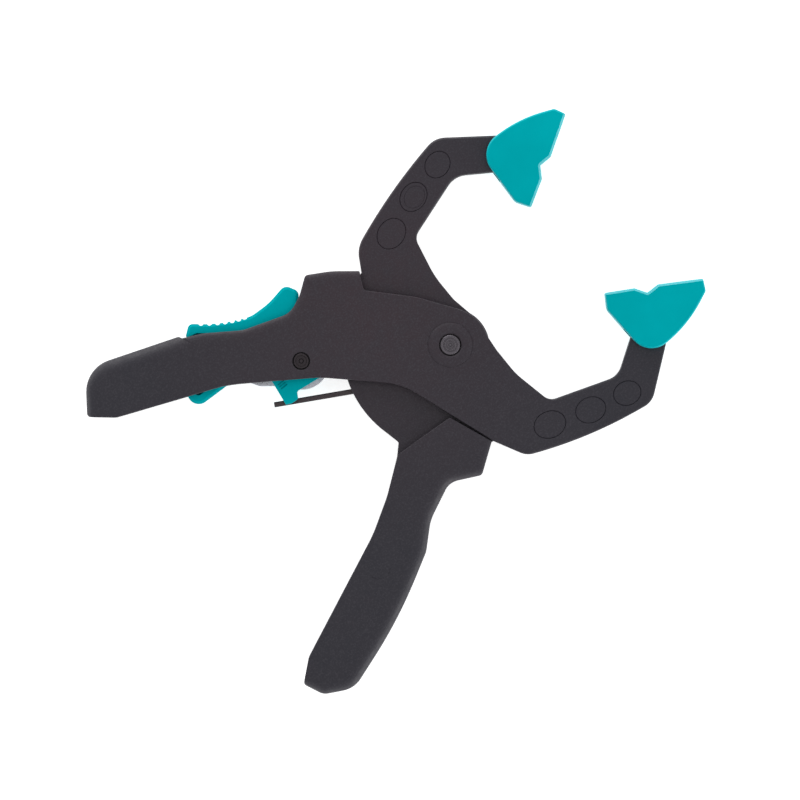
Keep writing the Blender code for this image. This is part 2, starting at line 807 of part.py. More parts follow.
def release_spring():
    """Small compression spring that brings the release lever back."""
    foot = Vector((*RELEASE_SPRING_FOOT, 0.0))
    head = Vector((*RELEASE_SPRING_HEAD, 0.0))
    axis = (head - foot).normalized()
    across = Vector((-axis.y, axis.x, 0.0))
    length = (head - foot).length - 2 * RELEASE_SPRING_WIRE
    flats = int(12 * RELEASE_SPRING_TURNS)
    path = []
    for index in range(flats + 1):
        share = index / flats
        angle = 2 * pi * RELEASE_SPRING_TURNS * share
        ring = across * cos(angle) + Vector((0.0, 0.0, 1.0)) * sin(angle)
        path.append(foot + axis * (RELEASE_SPRING_WIRE + length * share) + ring * RELEASE_SPRING_RADIUS)
    item = wire("release_spring", path, RELEASE_SPRING_WIRE, 5)
    return finish(item, dark_steel("release_spring"))


def main_rivet():
    """Main pivot: a steel rivet with a turned head in front and a flush closed head behind."""
    profile = [
        (PIVOT_HEAD - 0.2, -LEVER_HALF),
        (PIVOT_HEAD, -LEVER_HALF + 0.2),
        (PIVOT_HEAD, -REAR_HEAD),
        (PIVOT_SHANK, -REAR_HEAD),
        (PIVOT_SHANK, 7.1),
        (PIVOT_HEAD, 7.1),
        (PIVOT_HEAD, LEVER_HALF + BOSS_RISE - 0.3),
        (PIVOT_HEAD - 0.3, LEVER_HALF + BOSS_RISE),
    ]
    return finish(turned("main_rivet", (0.0, 0.0), profile), steel("main_rivet"))


def pivot_sleeve():
    """Steel sleeve that the inner lever turns on."""
    item = disc("pivot_sleeve", (0.0, 0.0), SLEEVE_OUTER, -PLATE_HALF, PLATE_HALF, 24)
    cut(item, disc("bore", (0.0, 0.0), SLEEVE_INNER, -12.0, 12.0, 24))
    return finish(item, steel("pivot_sleeve"))


def release_pin():
    """Pin of the release lever, with a dimpled head at each end."""
    profile = [
        (RELEASE_HEAD - 0.2, -LEVER_HALF),
        (RELEASE_HEAD, -LEVER_HALF + 0.2),
        (RELEASE_HEAD, -REAR_HEAD),
        (RELEASE_SHANK, -REAR_HEAD),
        (RELEASE_SHANK, 7.1),
        (RELEASE_HEAD, 7.1),
        (RELEASE_HEAD, LEVER_HALF - 0.2),
        (RELEASE_HEAD - 0.2, LEVER_HALF),
    ]
    return finish(turned("release_pin", RELEASE_PIN, profile, 24), steel("release_pin"))


def washer(name, centre, bore, radius):
    """Thin washer under a rivet's closed head, in the back cheek."""
    item = disc(name, centre, radius, -WASHER_HIGH, -WASHER_LOW, 24)
    cut(item, disc("bore", centre, bore, -12.0, 12.0, 24))
    return finish(item, zinc(name))


def lock_strip():
    """Flat steel strip with a rolled eye on the anchor pin."""
    half = STRIP_THICK_HALF
    corners = []
    for distance, side in ((0.0, -half), (STRIP_END, -half), (STRIP_END, half), (0.0, half)):
        spot = strip_line(distance, side)
        corners.append((spot.x, spot.y, 0.0, 0.0))
    item = slab("lock_strip", corners, -STRIP_WIDTH_HALF, STRIP_WIDTH_HALF)
    eye = strip_line(0.0)
    join(item, disc("eye", eye, EYE_RADIUS, -STRIP_WIDTH_HALF + 0.01, STRIP_WIDTH_HALF - 0.01, 24))
    cut(item, disc("hole", eye, EYE_HOLE, -12.0, 12.0, 24))
    return finish(item, dark_steel("lock_strip"))


def anchor_pin():
    """Pin in the inner lever that carries the strip's eye."""
    item = disc("anchor_pin", anchor_point(), ANCHOR_RADIUS, -4.7, 4.7, 16)
    return finish(item, steel("anchor_pin"))


def release_lever():
    """Thumb piece, web and finger loop in one moulding."""
    item = slab("release_lever", thumb_outline(), -TRIGGER_HALF, TRIGGER_HALF, 0.6, 1)
    join(item, slab("web", trigger_web_outline(), -WEB_HALF, WEB_HALF))
    join(item, slab("loop", loop_outline(), -TRIGGER_HALF, TRIGGER_HALF, 0.5, 1))
    cut(item, disc("bore", RELEASE_PIN, RELEASE_BORE, -12.0, 12.0, 20))
    cut(item, disc("rivet_bore", LOCK_RIVET, LOCK_RIVET_BORE, -12.0, 12.0, 14))
    return finish(item, teal("release_lever"), RELEASE_PIN)


def lock_plate(name, side):
    """One of the two steel plates that carry the foot's pull to the release pin."""
    low, high = sorted((side * PLATE_INNER, side * PLATE_OUTER))
    item = slab(name, lock_plate_outline(), low, high, 0.15, 1)
    cut(item, disc("bore", RELEASE_PIN, RELEASE_BORE, -12.0, 12.0, 20))
    cut(item, disc("rivet_bore", LOCK_RIVET, LOCK_RIVET_BORE, -12.0, 12.0, 14))
    return finish(item, zinc(name), RELEASE_PIN)


def across_strip(distance, low_side, high_side, half_length):
    """Rectangle square to the strip, that far along it."""
    corners = []
    for along, side in ((-half_length, low_side), (half_length, low_side),
                        (half_length, high_side), (-half_length, high_side)):
        spot = strip_line(distance + along, side)
        corners.append((spot.x, spot.y, 0.0, 0.0))
    return corners


FOOT_STATION = 52.4         # along the strip from its eye to the foot's middle
GRIP_HALF_THICK = 0.7
GRIP_HALF_WIDTH = 4.0
GRIP_TOP = 3.0
GRIP_BOTTOM = -0.75
GRIP_NOTCH_TOP = 1.15


def locking_foot():
    """Foot that straddles the strip, with a pocket for the steel grip plate."""
    item = slab("locking_foot", foot_outline(), -TRIGGER_HALF, TRIGGER_HALF, 0.3, 1)
    inside = slab("inside", foot_inside_outline(), -FOOT_WALL_INNER, FOOT_WALL_INNER)
    cut(item, inside)
    slot = across_strip(FOOT_STATION, -6.0, STRIP_THICK_HALF + 0.3, 7.0)
    cut(item, slab("strip_slot", slot, -STRIP_SLOT_HALF, STRIP_SLOT_HALF))
    pocket = across_strip(FOOT_STATION, -6.0, GRIP_TOP + 0.3, GRIP_HALF_THICK + 0.3)
    cut(item, slab("grip_pocket", pocket, -GRIP_HALF_WIDTH - 0.3, GRIP_HALF_WIDTH + 0.3))
    cut(item, disc("bore", RELEASE_PIN, RELEASE_BORE, -12.0, 12.0, 20))
    cut(item, disc("rivet_bore", LOCK_RIVET, LOCK_RIVET_BORE, -12.0, 12.0, 14))
    return finish(item, teal("locking_foot"), RELEASE_PIN)


def foot_inside_outline():
    """Room between the foot's walls for the lock plates and the lever's web."""
    return [
        (-52.00, 24.60, 0.0, 0.0),
        (-45.60, 20.60, 1.0, 0.0),
        (-43.60, 16.00, 0.0, 0.0),
        (-28.00, 12.00, 0.0, 0.0),
        (-28.00, 36.00, 0.0, 0.0),
        (-52.00, 36.00, 0.0, 0.0),
    ]


def grip_plate():
    """Hardened plate that straddles the strip; the edge of its notch bites on the strip."""
    outer = across_strip(FOOT_STATION, GRIP_BOTTOM, GRIP_TOP, GRIP_HALF_THICK)
    item = slab("grip_plate", outer, -GRIP_HALF_WIDTH, GRIP_HALF_WIDTH)
    notch = across_strip(FOOT_STATION, -3.0, GRIP_NOTCH_TOP, 5.0)
    cut(item, slab("notch", notch, -STRIP_SLOT_HALF, STRIP_SLOT_HALF))
    return finish(item, dark_steel("grip_plate"), RELEASE_PIN)


def lock_rivet():
    """Rivet that ties the lock plates and the foot to the release lever."""
    item = disc("lock_rivet", LOCK_RIVET, LOCK_RIVET_RADIUS, -4.7, 4.7, 14)
    return finish(item, steel("lock_rivet"), RELEASE_PIN)


def jaw_pad(name, side):
    """Swivelling pad; side is 1 for the upper jaw and -1 for the lower."""
    outline = on_jaw(pad_outline(), side)
    opening = on_jaw(pad_slot_outline(), side)
    pin = pad_pin_place(side)
    item = slab(name, outline, -PAD_HALF, PAD_HALF, 1.4)
    cut(item, slab("slot", opening, -PAD_SLOT_HALF, PAD_SLOT_HALF))
    cut(item, disc("pin_bore", pin, PAD_PIN_BORE, -PAD_BORE_HALF, PAD_BORE_HALF, 20))
    return finish(item, teal(name), pin)


def pad_pin(name, side):
    """Pin across the jaw tip that the pad snaps onto."""
    pin = pad_pin_place(side)
    item = disc(name, pin, PAD_PIN_RADIUS, -PAD_PIN_HALF, PAD_PIN_HALF, 16)
    return finish(item, steel(name), pin)


def clear_scene():
    for item in list(bpy.data.objects):
        bpy.data.objects.remove(item)


def main():
    clear_scene()
    outer_lever()
    inner_lever()
    main_rivet()
    washer("main_rivet_washer", (0.0, 0.0), SLEEVE_INNER, PIVOT_HEAD)
    pivot_sleeve()
    opening_spring()
    anchor_pin()
    lock_strip()
    release_pin()
    washer("release_pin_washer", RELEASE_PIN, RELEASE_BORE, RELEASE_HEAD)
    release_lever()
    lock_plate("lock_plate_front", 1)
    lock_plate("lock_plate_rear", -1)
    locking_foot()
    grip_plate()
    lock_rivet()
    release_spring()
    jaw_pad("jaw_pad_upper", 1)
    jaw_pad("jaw_pad_lower", -1)
    pad_pin("pad_pin_upper", 1)
    pad_pin("pad_pin_lower", -1)


main()
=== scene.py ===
"""Locking spring clamp: charcoal nylon levers, teal pads and release lever, steel rivets and strip.

The clamp lies on its side. +Z runs along the main pivot, +X along the centre line to the jaws, and
z = 0 is the floor. Outlines are in millimetres in the clamp's own plane, heights are measured from
its middle plane, and both become metres when a mesh is built.
"""

from math import acos, atan2, ceil, cos, hypot, pi, radians, sin, sqrt, tan

import bmesh
import bpy
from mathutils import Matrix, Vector


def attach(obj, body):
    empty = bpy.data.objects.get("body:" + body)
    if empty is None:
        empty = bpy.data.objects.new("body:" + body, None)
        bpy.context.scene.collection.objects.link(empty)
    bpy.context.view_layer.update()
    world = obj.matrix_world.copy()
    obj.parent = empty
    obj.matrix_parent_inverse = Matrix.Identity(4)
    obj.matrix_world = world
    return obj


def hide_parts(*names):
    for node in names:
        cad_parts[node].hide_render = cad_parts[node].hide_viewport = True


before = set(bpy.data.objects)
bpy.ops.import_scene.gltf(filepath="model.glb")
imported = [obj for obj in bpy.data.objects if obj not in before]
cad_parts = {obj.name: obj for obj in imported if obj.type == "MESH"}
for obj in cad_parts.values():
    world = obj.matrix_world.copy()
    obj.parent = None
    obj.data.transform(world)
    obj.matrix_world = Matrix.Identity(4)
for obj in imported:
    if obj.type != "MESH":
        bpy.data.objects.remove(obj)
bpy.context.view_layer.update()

MM = 0.001
MID_HEIGHT = 8.0
THROUGH = 12.0              # a cutter that reaches this far goes right through any piece
CLEARANCE = 0.3
PIVOT = (0.0, 0.0)

# Half thicknesses along the main pivot
LEVER_HALF = 8.0
PLATE_HALF = 5.0
FORK_HALF = 5.35
PAD_HALF = 8.0
PAD_SLOT_HALF = 5.4
TRIGGER_HALF = 4.9
STRIP_WIDTH_HALF = 2.5
STRIP_SLOT_HALF = 2.9

# Hub, main rivet and the round plate between the cheeks
HUB_RADIUS = 11.15
PLATE_HUB_RADIUS = 11.45    # the plate shows a little beyond the cheeks
HUB_MIDDLE = (0.0, -0.6)
DISC_RADIUS = 32.6
WEB_RADIUS = 33.0
PIVOT_SHANK = 2.0
PIVOT_HEAD = 3.0
PIVOT_HEAD_RECESS = 3.35
FRONT_FLOOR = 6.8
REAR_FLOOR = 6.4
REAR_HEAD = 7.4
HEAD_SEAT = 7.1             # underside of the front heads
BOSS_RADIUS = 6.6
BOSS_RISE = 0.35
SLEEVE_INNER = 2.3
HUB_BORE = 3.3
CLOSING_ANGLE = radians(40.0)

# Locking strip and opening spring
STRIP_ANGLE = radians(150.7)
STRIP_OFFSET = 8.83
STRIP_BOW = 0.28
STRIP_THICK_HALF = 0.8
STRIP_END = 58.3
EYE_RADIUS = 2.65
EYE_HOLE = 1.65
EYE_POCKET = 3.25
ANCHOR_BORE = 1.4
SPRING_WIRE = 0.6
SPRING_RADIUS = 3.9
SPRING_POCKET = 4.8
SPRING_LEG_ANGLE = radians(60.0)

# Release lever and lock
RELEASE_PIN = (-37.8, 24.4)
RELEASE_SHANK = 1.5
RELEASE_BORE = 1.8
RELEASE_HEAD = 2.4
RELEASE_HEAD_RECESS = 2.7
WEB_HALF = 1.1
PLATE_INNER = 1.4
PLATE_OUTER = 2.7
PLATE_DISC = 8.6
FOOT_WALL_INNER = 3.0
LOCK_RIVET = (-43.9, 27.9)
LOCK_RIVET_BORE = 1.2
FOOT_STATION = 52.4
GRIP_HALF_THICK = 0.7
GRIP_HALF_WIDTH = 4.0
GRIP_TOP = 3.0

# Jaw pads
PAD_PIN = (52.5, 31.0)      # in the pad outline's own place
UPPER_PAD_SHIFT = (-0.45, -0.05)
LOWER_PAD_SHIFT = (0.50, -0.15)
PAD_PIN_BORE = 1.9
PAD_BORE_HALF = 7.5
PAD_FACE_ANGLE = radians(30.7)
PAD_CROWN = 0.9             # how much lower a pad's flanks are at its ends than at its middle
PAD_REACH = 16.0            # from the middle of a pad's face to either end
PAD_SLICES = 13

# The lower jaw thins along this direction, between these two distances from the pivot
TAPER_DIRECTION = Vector((0.7071, -0.7071, 0.0))
TAPER_START = 16.0
TAPER_END = 46.0

# Oval rings engraved in the arms: (centre, long radius, short radius)
ARM_TILT = radians(16.0)
LOWER_MARKS = (((32.2, -44.7), 4.2, 3.6), ((20.5, -41.7), 4.65, 3.8), ((8.2, -37.4), 4.9, 4.0))
UPPER_MARKS = (((31.1, 44.5), 4.2, 3.6), ((19.4, 41.5), 4.65, 3.8), ((7.3, 37.1), 4.9, 4.0))
MIDDLE_RING = ((19.6, 41.3), 3.5, 2.9)
HANDLE_MARK = ((-58.7, -38.5), 3.4, 3.4)

# Ridges on the thumb piece lie along a curve through these, and the foot's ribs start at that height
SCALLOPS = 7
SCALLOP_RADIUS = 0.85
SCALLOP_CURVE = (Vector((-54.07, 52.30)), Vector((-47.86, 47.28)), Vector((-42.73, 45.50)))
RIBS = 3
RIB_START = 21.7
RIB_SPACING = 0.76
RIB_HALF = 0.16
RIB_ENDS = (-47.9, -45.5)

# An edge treatment is (width, depth, kind): how far it comes in, how deep it goes, round or flat
NONE = (0.0, 0.0, "round")
CRISP = (0.32, 0.32, "round")
EDGE = (0.75, 0.75, "round")
HUMP = (3.0, 0.9, "round")
SOFT = (4.3, 2.3, "round")
THROAT = (0.35, 0.35, "round")
PAD_SIDE = (0.7, 0.7, "round")
PAD_FACE = (0.7, 2.0, "flat")
RIM = (0.8, 0.35, "flat")
THIN = (0.15, 0.15, "round")
ROUND_START = 0.3           # share of a quarter round left out at the side wall

RING_STEPS = 6              # rings down each edge treatment
WIDEST_FLAT = 0.97          # cosine of the most that half a flat of a fillet may turn
WELD = 0.000003             # metres within which points become one
SLICE_WELD = 0.0000005


# Outlines: a corner is (x, y, fillet radius, treatment of the edge that starts there) ------------

def arc(centre, radius, start, end, pieces, edge=CRISP):
    """Corners round a circle from one angle to another, in degrees, with sharp ends."""
    step = radians(end - start) / pieces
    first = radians(start)
    reach = radius / cos(step / 2)
    corners = [(centre[0] + radius * cos(first), centre[1] + radius * sin(first), 0.0, edge)]
    for index in range(pieces):
        angle = first + step * (index + 0.5)
        corners.append((centre[0] + reach * cos(angle), centre[1] + reach * sin(angle), radius, edge))
    last = radians(end)
    corners.append((centre[0] + radius * cos(last), centre[1] + radius * sin(last), 0.0, edge))
    return corners


def walked_back(corners):
    """The outline walked the other way, with every edge keeping its treatment."""
    return [corners[index][:3] + (corners[index - 1][3],) for index in reversed(range(len(corners)))]


def mirrored(corners):
    """The same outline on the other side of the centre line, walked in the same sense."""
    return [(x, -y, radius, edge) for x, y, radius, edge in walked_back(corners)]


def upper_jaw():
    """Upper jaw from the knuckle at the fork, round the tongue inside the pad, to the throat."""
    return [
        (-3.35, 40.25, 10.0, EDGE),
        (15.50, 47.65, 200.0, EDGE),
        (35.50, 51.30, 8.0, EDGE),
        (52.00, 39.00, 3.0, CRISP),
        (57.12, 29.66, 3.7, CRISP),
        (50.76, 25.88, 3.7, CRISP),
        (44.45, 31.05, 3.0, EDGE),
        (33.00, 38.64, 7.0, EDGE),
        (12.05, 31.85, 4.0, THROAT),
        (9.35, 19.00, 30.0, THROAT),
        (9.42, 10.00, 8.0, THROAT),
    ]


def lower_jaw():
    """Lower jaw from the throat, round the tongue inside the pad, to the knuckle."""
    return [
        (9.85, -10.00, 8.0, THROAT),
        (9.85, -19.00, 22.0, THROAT),
        (12.60, -31.75, 4.0, EDGE),
        (33.40, -39.00, 6.0, EDGE),
        (45.10, -31.35, 3.0, CRISP),
        (51.71, -26.08, 3.7, CRISP),
        (58.07, -29.86, 3.7, CRISP),
        (52.65, -38.95, 3.0, EDGE),
        (36.35, -51.55, 8.0, EDGE),
        (14.30, -47.85, 200.0, EDGE),
        (-3.05, -40.25, 9.0, CRISP),
    ]


def outer_lever_outline():
    """Lower jaw, hub, upper handle and the hump over the fork."""
    return (
        arc(HUB_MIDDLE, HUB_RADIUS, 20.0, -22.0, 2, THROAT)
        + lower_jaw()
        + [
            (-7.90, -31.00, 0.6, CRISP),
            (-18.85, 0.20, 22.0, CRISP),
            (-36.60, 17.10, 30.0, CRISP),
            (-59.60, 32.80, 40.0, CRISP),
            (-91.80, 46.20, 3.0, CRISP),
            (-98.40, 51.75, 1.2, SOFT),
            (-89.60, 63.55, 10.0, SOFT),
            (-61.90, 53.30, 0.4, CRISP),
            (-61.40, 52.25, 0.6, HUMP),
            (-55.60, 49.45, 10.0, HUMP),
            (-45.60, 42.60, 10.0, HUMP),
            (-31.30, 37.60, 7.0, HUMP),
            (-25.80, 40.00, 8.0, HUMP),
            (-20.70, 43.70, 1.4, HUMP),
            (-13.75, 39.65, 30.0, HUMP),
            (-7.25, 34.40, 0.4, CRISP),
            (-9.80, 29.10, 1.3, THROAT),
            (1.20, 17.60, 22.0, THROAT),
            (9.35, 5.90, 2.0, THROAT),
        ]
    )


def fork_outline():
    """Space between the cheeks: the fork, the handle's channel and the release lever's opening."""
    return [
        (13.50, -8.50, 0.0, NONE),
        (7.80, -9.90, 1.5, NONE),
        (-4.20, -30.00, 1.0, NONE),
        (-9.00, -32.40, 0.0, NONE),
        (-45.00, -20.00, 0.0, NONE),
        (-95.00, 30.00, 0.0, NONE),
        (-88.60, 41.00, 0.0, NONE),
        (-90.20, 51.20, 4.0, NONE),
        (-86.80, 59.85, 7.0, NONE),
        (-62.90, 50.90, 0.8, NONE),
        (-62.30, 56.50, 0.0, NONE),
        (-24.20, 52.00, 0.0, NONE),
        (-23.60, 43.50, 0.0, NONE),
        (-21.40, 35.60, 1.0, NONE),
        (-21.90, 32.30, 0.3, NONE),
        (-26.70, 28.45, 0.3, NONE),
    ] + arc((0.0, 0.0), WEB_RADIUS, 136.0, 107.0, 2, NONE) + [
        (-9.40, 33.80, 0.2, NONE),
        (-6.00, 34.20, 0.0, NONE),
        (16.00, 30.00, 0.0, NONE),
        (22.00, 0.00, 0.0, NONE),
    ]


def inner_plate_outline():
    """Upper jaw, hub and round plate of the inner lever, all at one thickness."""
    return (
        [(-8.95, 33.25, 0.3, CRISP), (-7.10, 33.60, 0.3, EDGE)]
        + upper_jaw()
        + arc(HUB_MIDDLE, PLATE_HUB_RADIUS, 22.0, -45.0, 2, THROAT)
        + [
            (-4.60, -29.20, 1.0, CRISP),
            (-7.60, -30.70, 0.3, CRISP),
            (-8.90, -30.50, 0.2, CRISP),
            (-12.00, -30.30, 0.0, CRISP),
            (-26.00, -27.00, 0.0, CRISP),
            (-34.45, -16.95, 0.0, CRISP),
            (-30.45, -12.95, 0.9, CRISP),
        ]
        + arc((0.0, 0.0), DISC_RADIUS, 191.0, 106.2, 3, CRISP)
    )


def inner_handle_outline():
    """Raised body of the lower handle, from the step beside the plate to its tip."""
    return [
        (-33.05, -15.70, 0.3, CRISP),
        (-24.00, -16.10, 30.0, CRISP),
        (-13.80, -16.80, 1.0, CRISP),
        (-8.50, -30.30, 0.3, HUMP),
        (-17.20, -36.40, 1.4, SOFT),
        (-26.20, -31.90, 5.5, SOFT),
        (-37.70, -37.20, 14.0, SOFT),
        (-44.70, -43.75, 6.0, SOFT),
        (-64.00, -54.35, 150.0, SOFT),
        (-87.30, -62.05, 8.0, SOFT),
        (-95.60, -57.60, 4.0, SOFT),
        (-98.35, -51.45, 1.2, CRISP),
        (-92.00, -46.10, 3.0, CRISP),
        (-54.00, -29.75, 40.0, CRISP),
        (-43.50, -23.50, 25.0, CRISP),
    ]


def inner_channel_outline():
    """Hollow of the lower handle, open towards the upper one."""
    return [
        (-88.60, -41.00, 0.0, NONE),
        (-90.20, -51.20, 4.0, NONE),
        (-86.80, -58.60, 7.0, NONE),
        (-63.60, -51.10, 60.0, NONE),
        (-46.60, -42.20, 6.0, NONE),
        (-41.00, -36.00, 7.0, NONE),
        (-34.60, -32.20, 2.0, NONE),
        (-36.60, -24.60, 2.0, NONE),
        (-42.00, -14.00, 0.0, NONE),
    ]


def pad_outline():
    """Upper jaw pad: flat face with its vee towards the other pad, rounded back."""
    return [
        (45.40, 16.90, 0.4, PAD_FACE),
        (53.20, 21.40, 0.3, PAD_FACE),
        (55.40, 24.95, 0.3, PAD_FACE),
        (59.50, 25.00, 0.3, PAD_FACE),
        (71.05, 32.10, 0.5, PAD_SIDE),
        (69.35, 35.55, 1.6, PAD_SIDE),
        (58.50, 40.20, 40.0, PAD_SIDE),
        (43.50, 40.20, 7.0, PAD_SIDE),
        (42.70, 21.20, 3.0, PAD_SIDE),
    ]


def pad_slot_outline():
    """Slot in the upper pad, wide enough for the pad to swing on the jaw tip."""
    return [
        (39.50, 29.20, 0.0, NONE),
        (46.20, 28.60, 2.0, NONE),
        (51.06, 25.38, 4.1, NONE),
        (58.12, 29.56, 4.1, NONE),
        (51.30, 41.60, 0.0, NONE),
        (50.00, 46.00, 0.0, NONE),
        (39.50, 46.00, 0.0, NONE),
    ]


def on_jaw(corners, side):
    """An outline drawn for the upper jaw, put on the upper jaw (1) or the lower one (-1)."""
    shift = UPPER_PAD_SHIFT if side > 0 else LOWER_PAD_SHIFT
    walked = corners if side > 0 else mirrored(corners)
    return [(x + shift[0], y + shift[1], radius, edge) for x, y, radius, edge in walked]


def pad_pin_place(side):
    """Centre of the pad pin in the upper jaw (1) or the lower one (-1)."""
    shift = UPPER_PAD_SHIFT if side > 0 else LOWER_PAD_SHIFT
    return PAD_PIN[0] + shift[0], side * PAD_PIN[1] + shift[1]


def thumb_outline():
    """Release lever's thumb piece, with the scalloped grip along its back."""
    return [
        (-60.40, 51.80, 0.4, RIM),
        (-57.05, 54.35, 1.5, RIM),
        (-50.60, 48.90, 40.0, RIM),
        (-41.20, 44.30, 8.0, RIM),
        (-34.50, 44.00, 22.0, RIM),
        (-27.40, 45.30, 2.4, RIM),
        (-25.25, 41.30, 1.8, RIM),
        (-27.40, 38.75, 0.3, THIN),
        (-31.40, 35.50, 0.3, THIN),
        (-33.60, 35.60, 1.0, THIN),
        (-46.00, 41.00, 4.0, THIN),
        (-56.90, 50.60, 1.0, THIN),
        (-59.50, 51.25, 0.3, THIN),
    ]


def trigger_web_outline():
    """Thin web that joins the thumb piece, the hub on the release pin and the finger loop."""
    return [
        (-58.00, 51.80, 0.5, NONE),
        (-45.00, 43.00, 3.0, NONE),
        (-31.00, 40.00, 2.0, NONE),
        (-31.80, 30.00, 4.0, NONE),
        (-32.60, 19.60, 4.0, NONE),
        (-41.60, 19.60, 4.0, NONE),
        (-47.00, 29.20, 4.0, NONE),
        (-58.60, 33.60, 1.5, NONE),
        (-69.90, 33.90, 2.0, NONE),
        (-70.20, 39.20, 1.0, NONE),
        (-62.20, 47.40, 3.0, NONE),
    ]


def loop_outline():
    """Rim of the finger loop that hangs below the upper handle."""
    return [
        (-70.70, 39.80, 0.3, RIM),
        (-71.60, 33.15, 3.3, RIM),
        (-58.60, 32.70, 0.5, THIN),
        (-58.60, 35.20, 0.5, THIN),
        (-68.80, 35.70, 1.2, THIN),
        (-68.40, 39.80, 0.3, THIN),
    ]


def lock_plate_outline():
    """Steel plate: round about the release pin, with an arm up the handle's channel."""
    return arc(RELEASE_PIN, PLATE_DISC, 115.0, -158.0, 4, THIN) + [
        (-52.35, 26.35, 3.0, THIN),
        (-55.70, 31.90, 1.5, THIN),
        (-56.60, 34.60, 2.0, THIN),
        (-50.50, 38.60, 2.5, THIN),
    ]


def foot_outline():
    """Side wall of the locking foot, from the release pin down to the strip."""
    return [
        (-49.65, 17.10, 0.4, THIN),
        (-48.35, 26.20, 0.5, THIN),
        (-46.60, 31.60, 2.0, THIN),
        (-35.00, 31.60, 4.5, THIN),
        (-31.20, 21.60, 3.0, THIN),
        (-36.50, 17.05, 0.3, THIN),
        (-44.55, 18.15, 0.8, THIN),
        (-45.75, 16.15, 0.7, THIN),
        (-48.00, 16.30, 0.8, THIN),
    ]


def foot_inside_outline():
    """Room between the foot's walls for the lock plates and the lever's web."""
    return [
        (-52.00, 24.60, 0.0, NONE),
        (-45.60, 20.60, 1.0, NONE),
        (-43.60, 16.00, 0.0, NONE),
        (-28.00, 12.00, 0.0, NONE),
        (-28.00, 36.00, 0.0, NONE),
        (-52.00, 36.00, 0.0, NONE),
    ]


# Meshes -----------------------------------------------------------------------------------------

def unit(dx, dy):
    """Direction of length one."""
    length = hypot(dx, dy)
    return dx / length, dy / length


def anticlockwise(corners):
    """The outline walked anticlockwise, so its inside is always on the left."""
    area = 0.0
    for index, corner in enumerate(corners):
        before = corners[index - 1]
        area += before[0] * corner[1] - corner[0] * before[1]
    return list(corners) if area > 0 else walked_back(corners)


def directions(corners, index):
    """Directions of the edges that arrive at a corner and leave it."""
    x, y = corners[index][:2]
    before = corners[index - 1]
    after = corners[(index + 1) % len(corners)]
    return unit(x - before[0], y - before[1]) + unit(after[0] - x, after[1] - y)


def edge_inset(edge, drop):
    """How far an edge comes in at that drop below the cap. A round one stops short of upright."""
    width, depth, kind = edge
    if depth <= 0.0 or drop >= depth:
        return 0.0
    rest = 1.0 - drop / depth
    if kind == "flat":
        return width * rest
    rest = ROUND_START + (1.0 - ROUND_START) * rest
    first = 1.0 - sqrt(1.0 - ROUND_START * ROUND_START)
    return width * (1.0 - sqrt(max(1.0 - rest * rest, 0.0)) - first) / (1.0 - first)


def inset(corners, drop):
    """The outline at that drop below the cap, every edge moved in by its own treatment."""
    moved = []
    for index, (x, y, radius, edge_out) in enumerate(corners):
        in_x, in_y, out_x, out_y = directions(corners, index)
        shift_in = edge_inset(corners[index - 1][3], drop)
        shift_out = edge_inset(edge_out, drop)
        turn = in_x * out_y - in_y * out_x
        change = (shift_in + shift_out) / 2
        if abs(turn) < 0.02:
            moved.append((x - in_y * change, y + in_x * change, radius, edge_out))
            continue
        level_in = -in_y * x + in_x * y + shift_in
        level_out = -out_y * x + out_x * y + shift_out
        new_x = (level_in * out_x - level_out * in_x) / turn
        new_y = (level_in * out_y - level_out * in_y) / turn
        new_radius = radius - change if turn > 0 else radius + change
        new_radius = max(new_radius, 0.3 * radius) if radius else 0.0
        moved.append((new_x, new_y, new_radius, edge_out))
    return moved


def corner_turn(corners, index):
    """Signed turn at a corner, in radians, positive to the left."""
    in_x, in_y, out_x, out_y = directions(corners, index)
    return atan2(in_x * out_y - in_y * out_x, in_x * out_x + in_y * out_y)


def fillet_steps(corners, tolerance):
    """How many flats each corner's arc gets."""
    steps = []
    for index, corner in enumerate(corners):
        radius = corner[2]
        turn = abs(corner_turn(corners, index))
        if radius <= 0.0 or turn < 0.01:
            steps.append(0)
            continue
        flat = 2 * acos(max(1 - tolerance / radius, WIDEST_FLAT))
        steps.append(max(3, ceil(turn / flat)))
    return steps


def fillet_reaches(corners):
    """How far each fillet eats into its edges, shared out where two would meet."""
    count = len(corners)
    reaches = []
    for index, corner in enumerate(corners):
        reaches.append(corner[2] * tan(abs(corner_turn(corners, index)) / 2))
    scales = [1.0] * count
    for index in range(count):
        following = (index + 1) % count
        here, there = corners[index], corners[following]
        length = hypot(there[0] - here[0], there[1] - here[1])
        wanted = reaches[index] + reaches[following]
        if wanted > length:
            share = length / wanted * 0.9995
            scales[index] = min(scales[index], share)
            scales[following] = min(scales[following], share)
    return [reach * scale for reach, scale in zip(reaches, scales)]


def rounded(corners, steps):
    """Points along the outline, with every filleted corner as an arc."""
    reaches = fillet_reaches(corners)
    points = []
    for index, corner in enumerate(corners):
        x, y = corner[:2]
        if not steps[index]:
            points.append((x, y))
            continue
        in_x, in_y = directions(corners, index)[:2]
        turn = corner_turn(corners, index)
        reach = reaches[index]
        radius = reach / max(tan(abs(turn) / 2), 1e-6)
        side = 1.0 if turn > 0 else -1.0
        centre_x = x - in_x * reach - in_y * radius * side
        centre_y = y - in_y * reach + in_x * radius * side
        start = atan2(y - in_y * reach - centre_y, x - in_x * reach - centre_x)
        for step in range(steps[index] + 1):
            angle = start + turn * step / steps[index]
            points.append((centre_x + radius * cos(angle), centre_y + radius * sin(angle)))
    return points


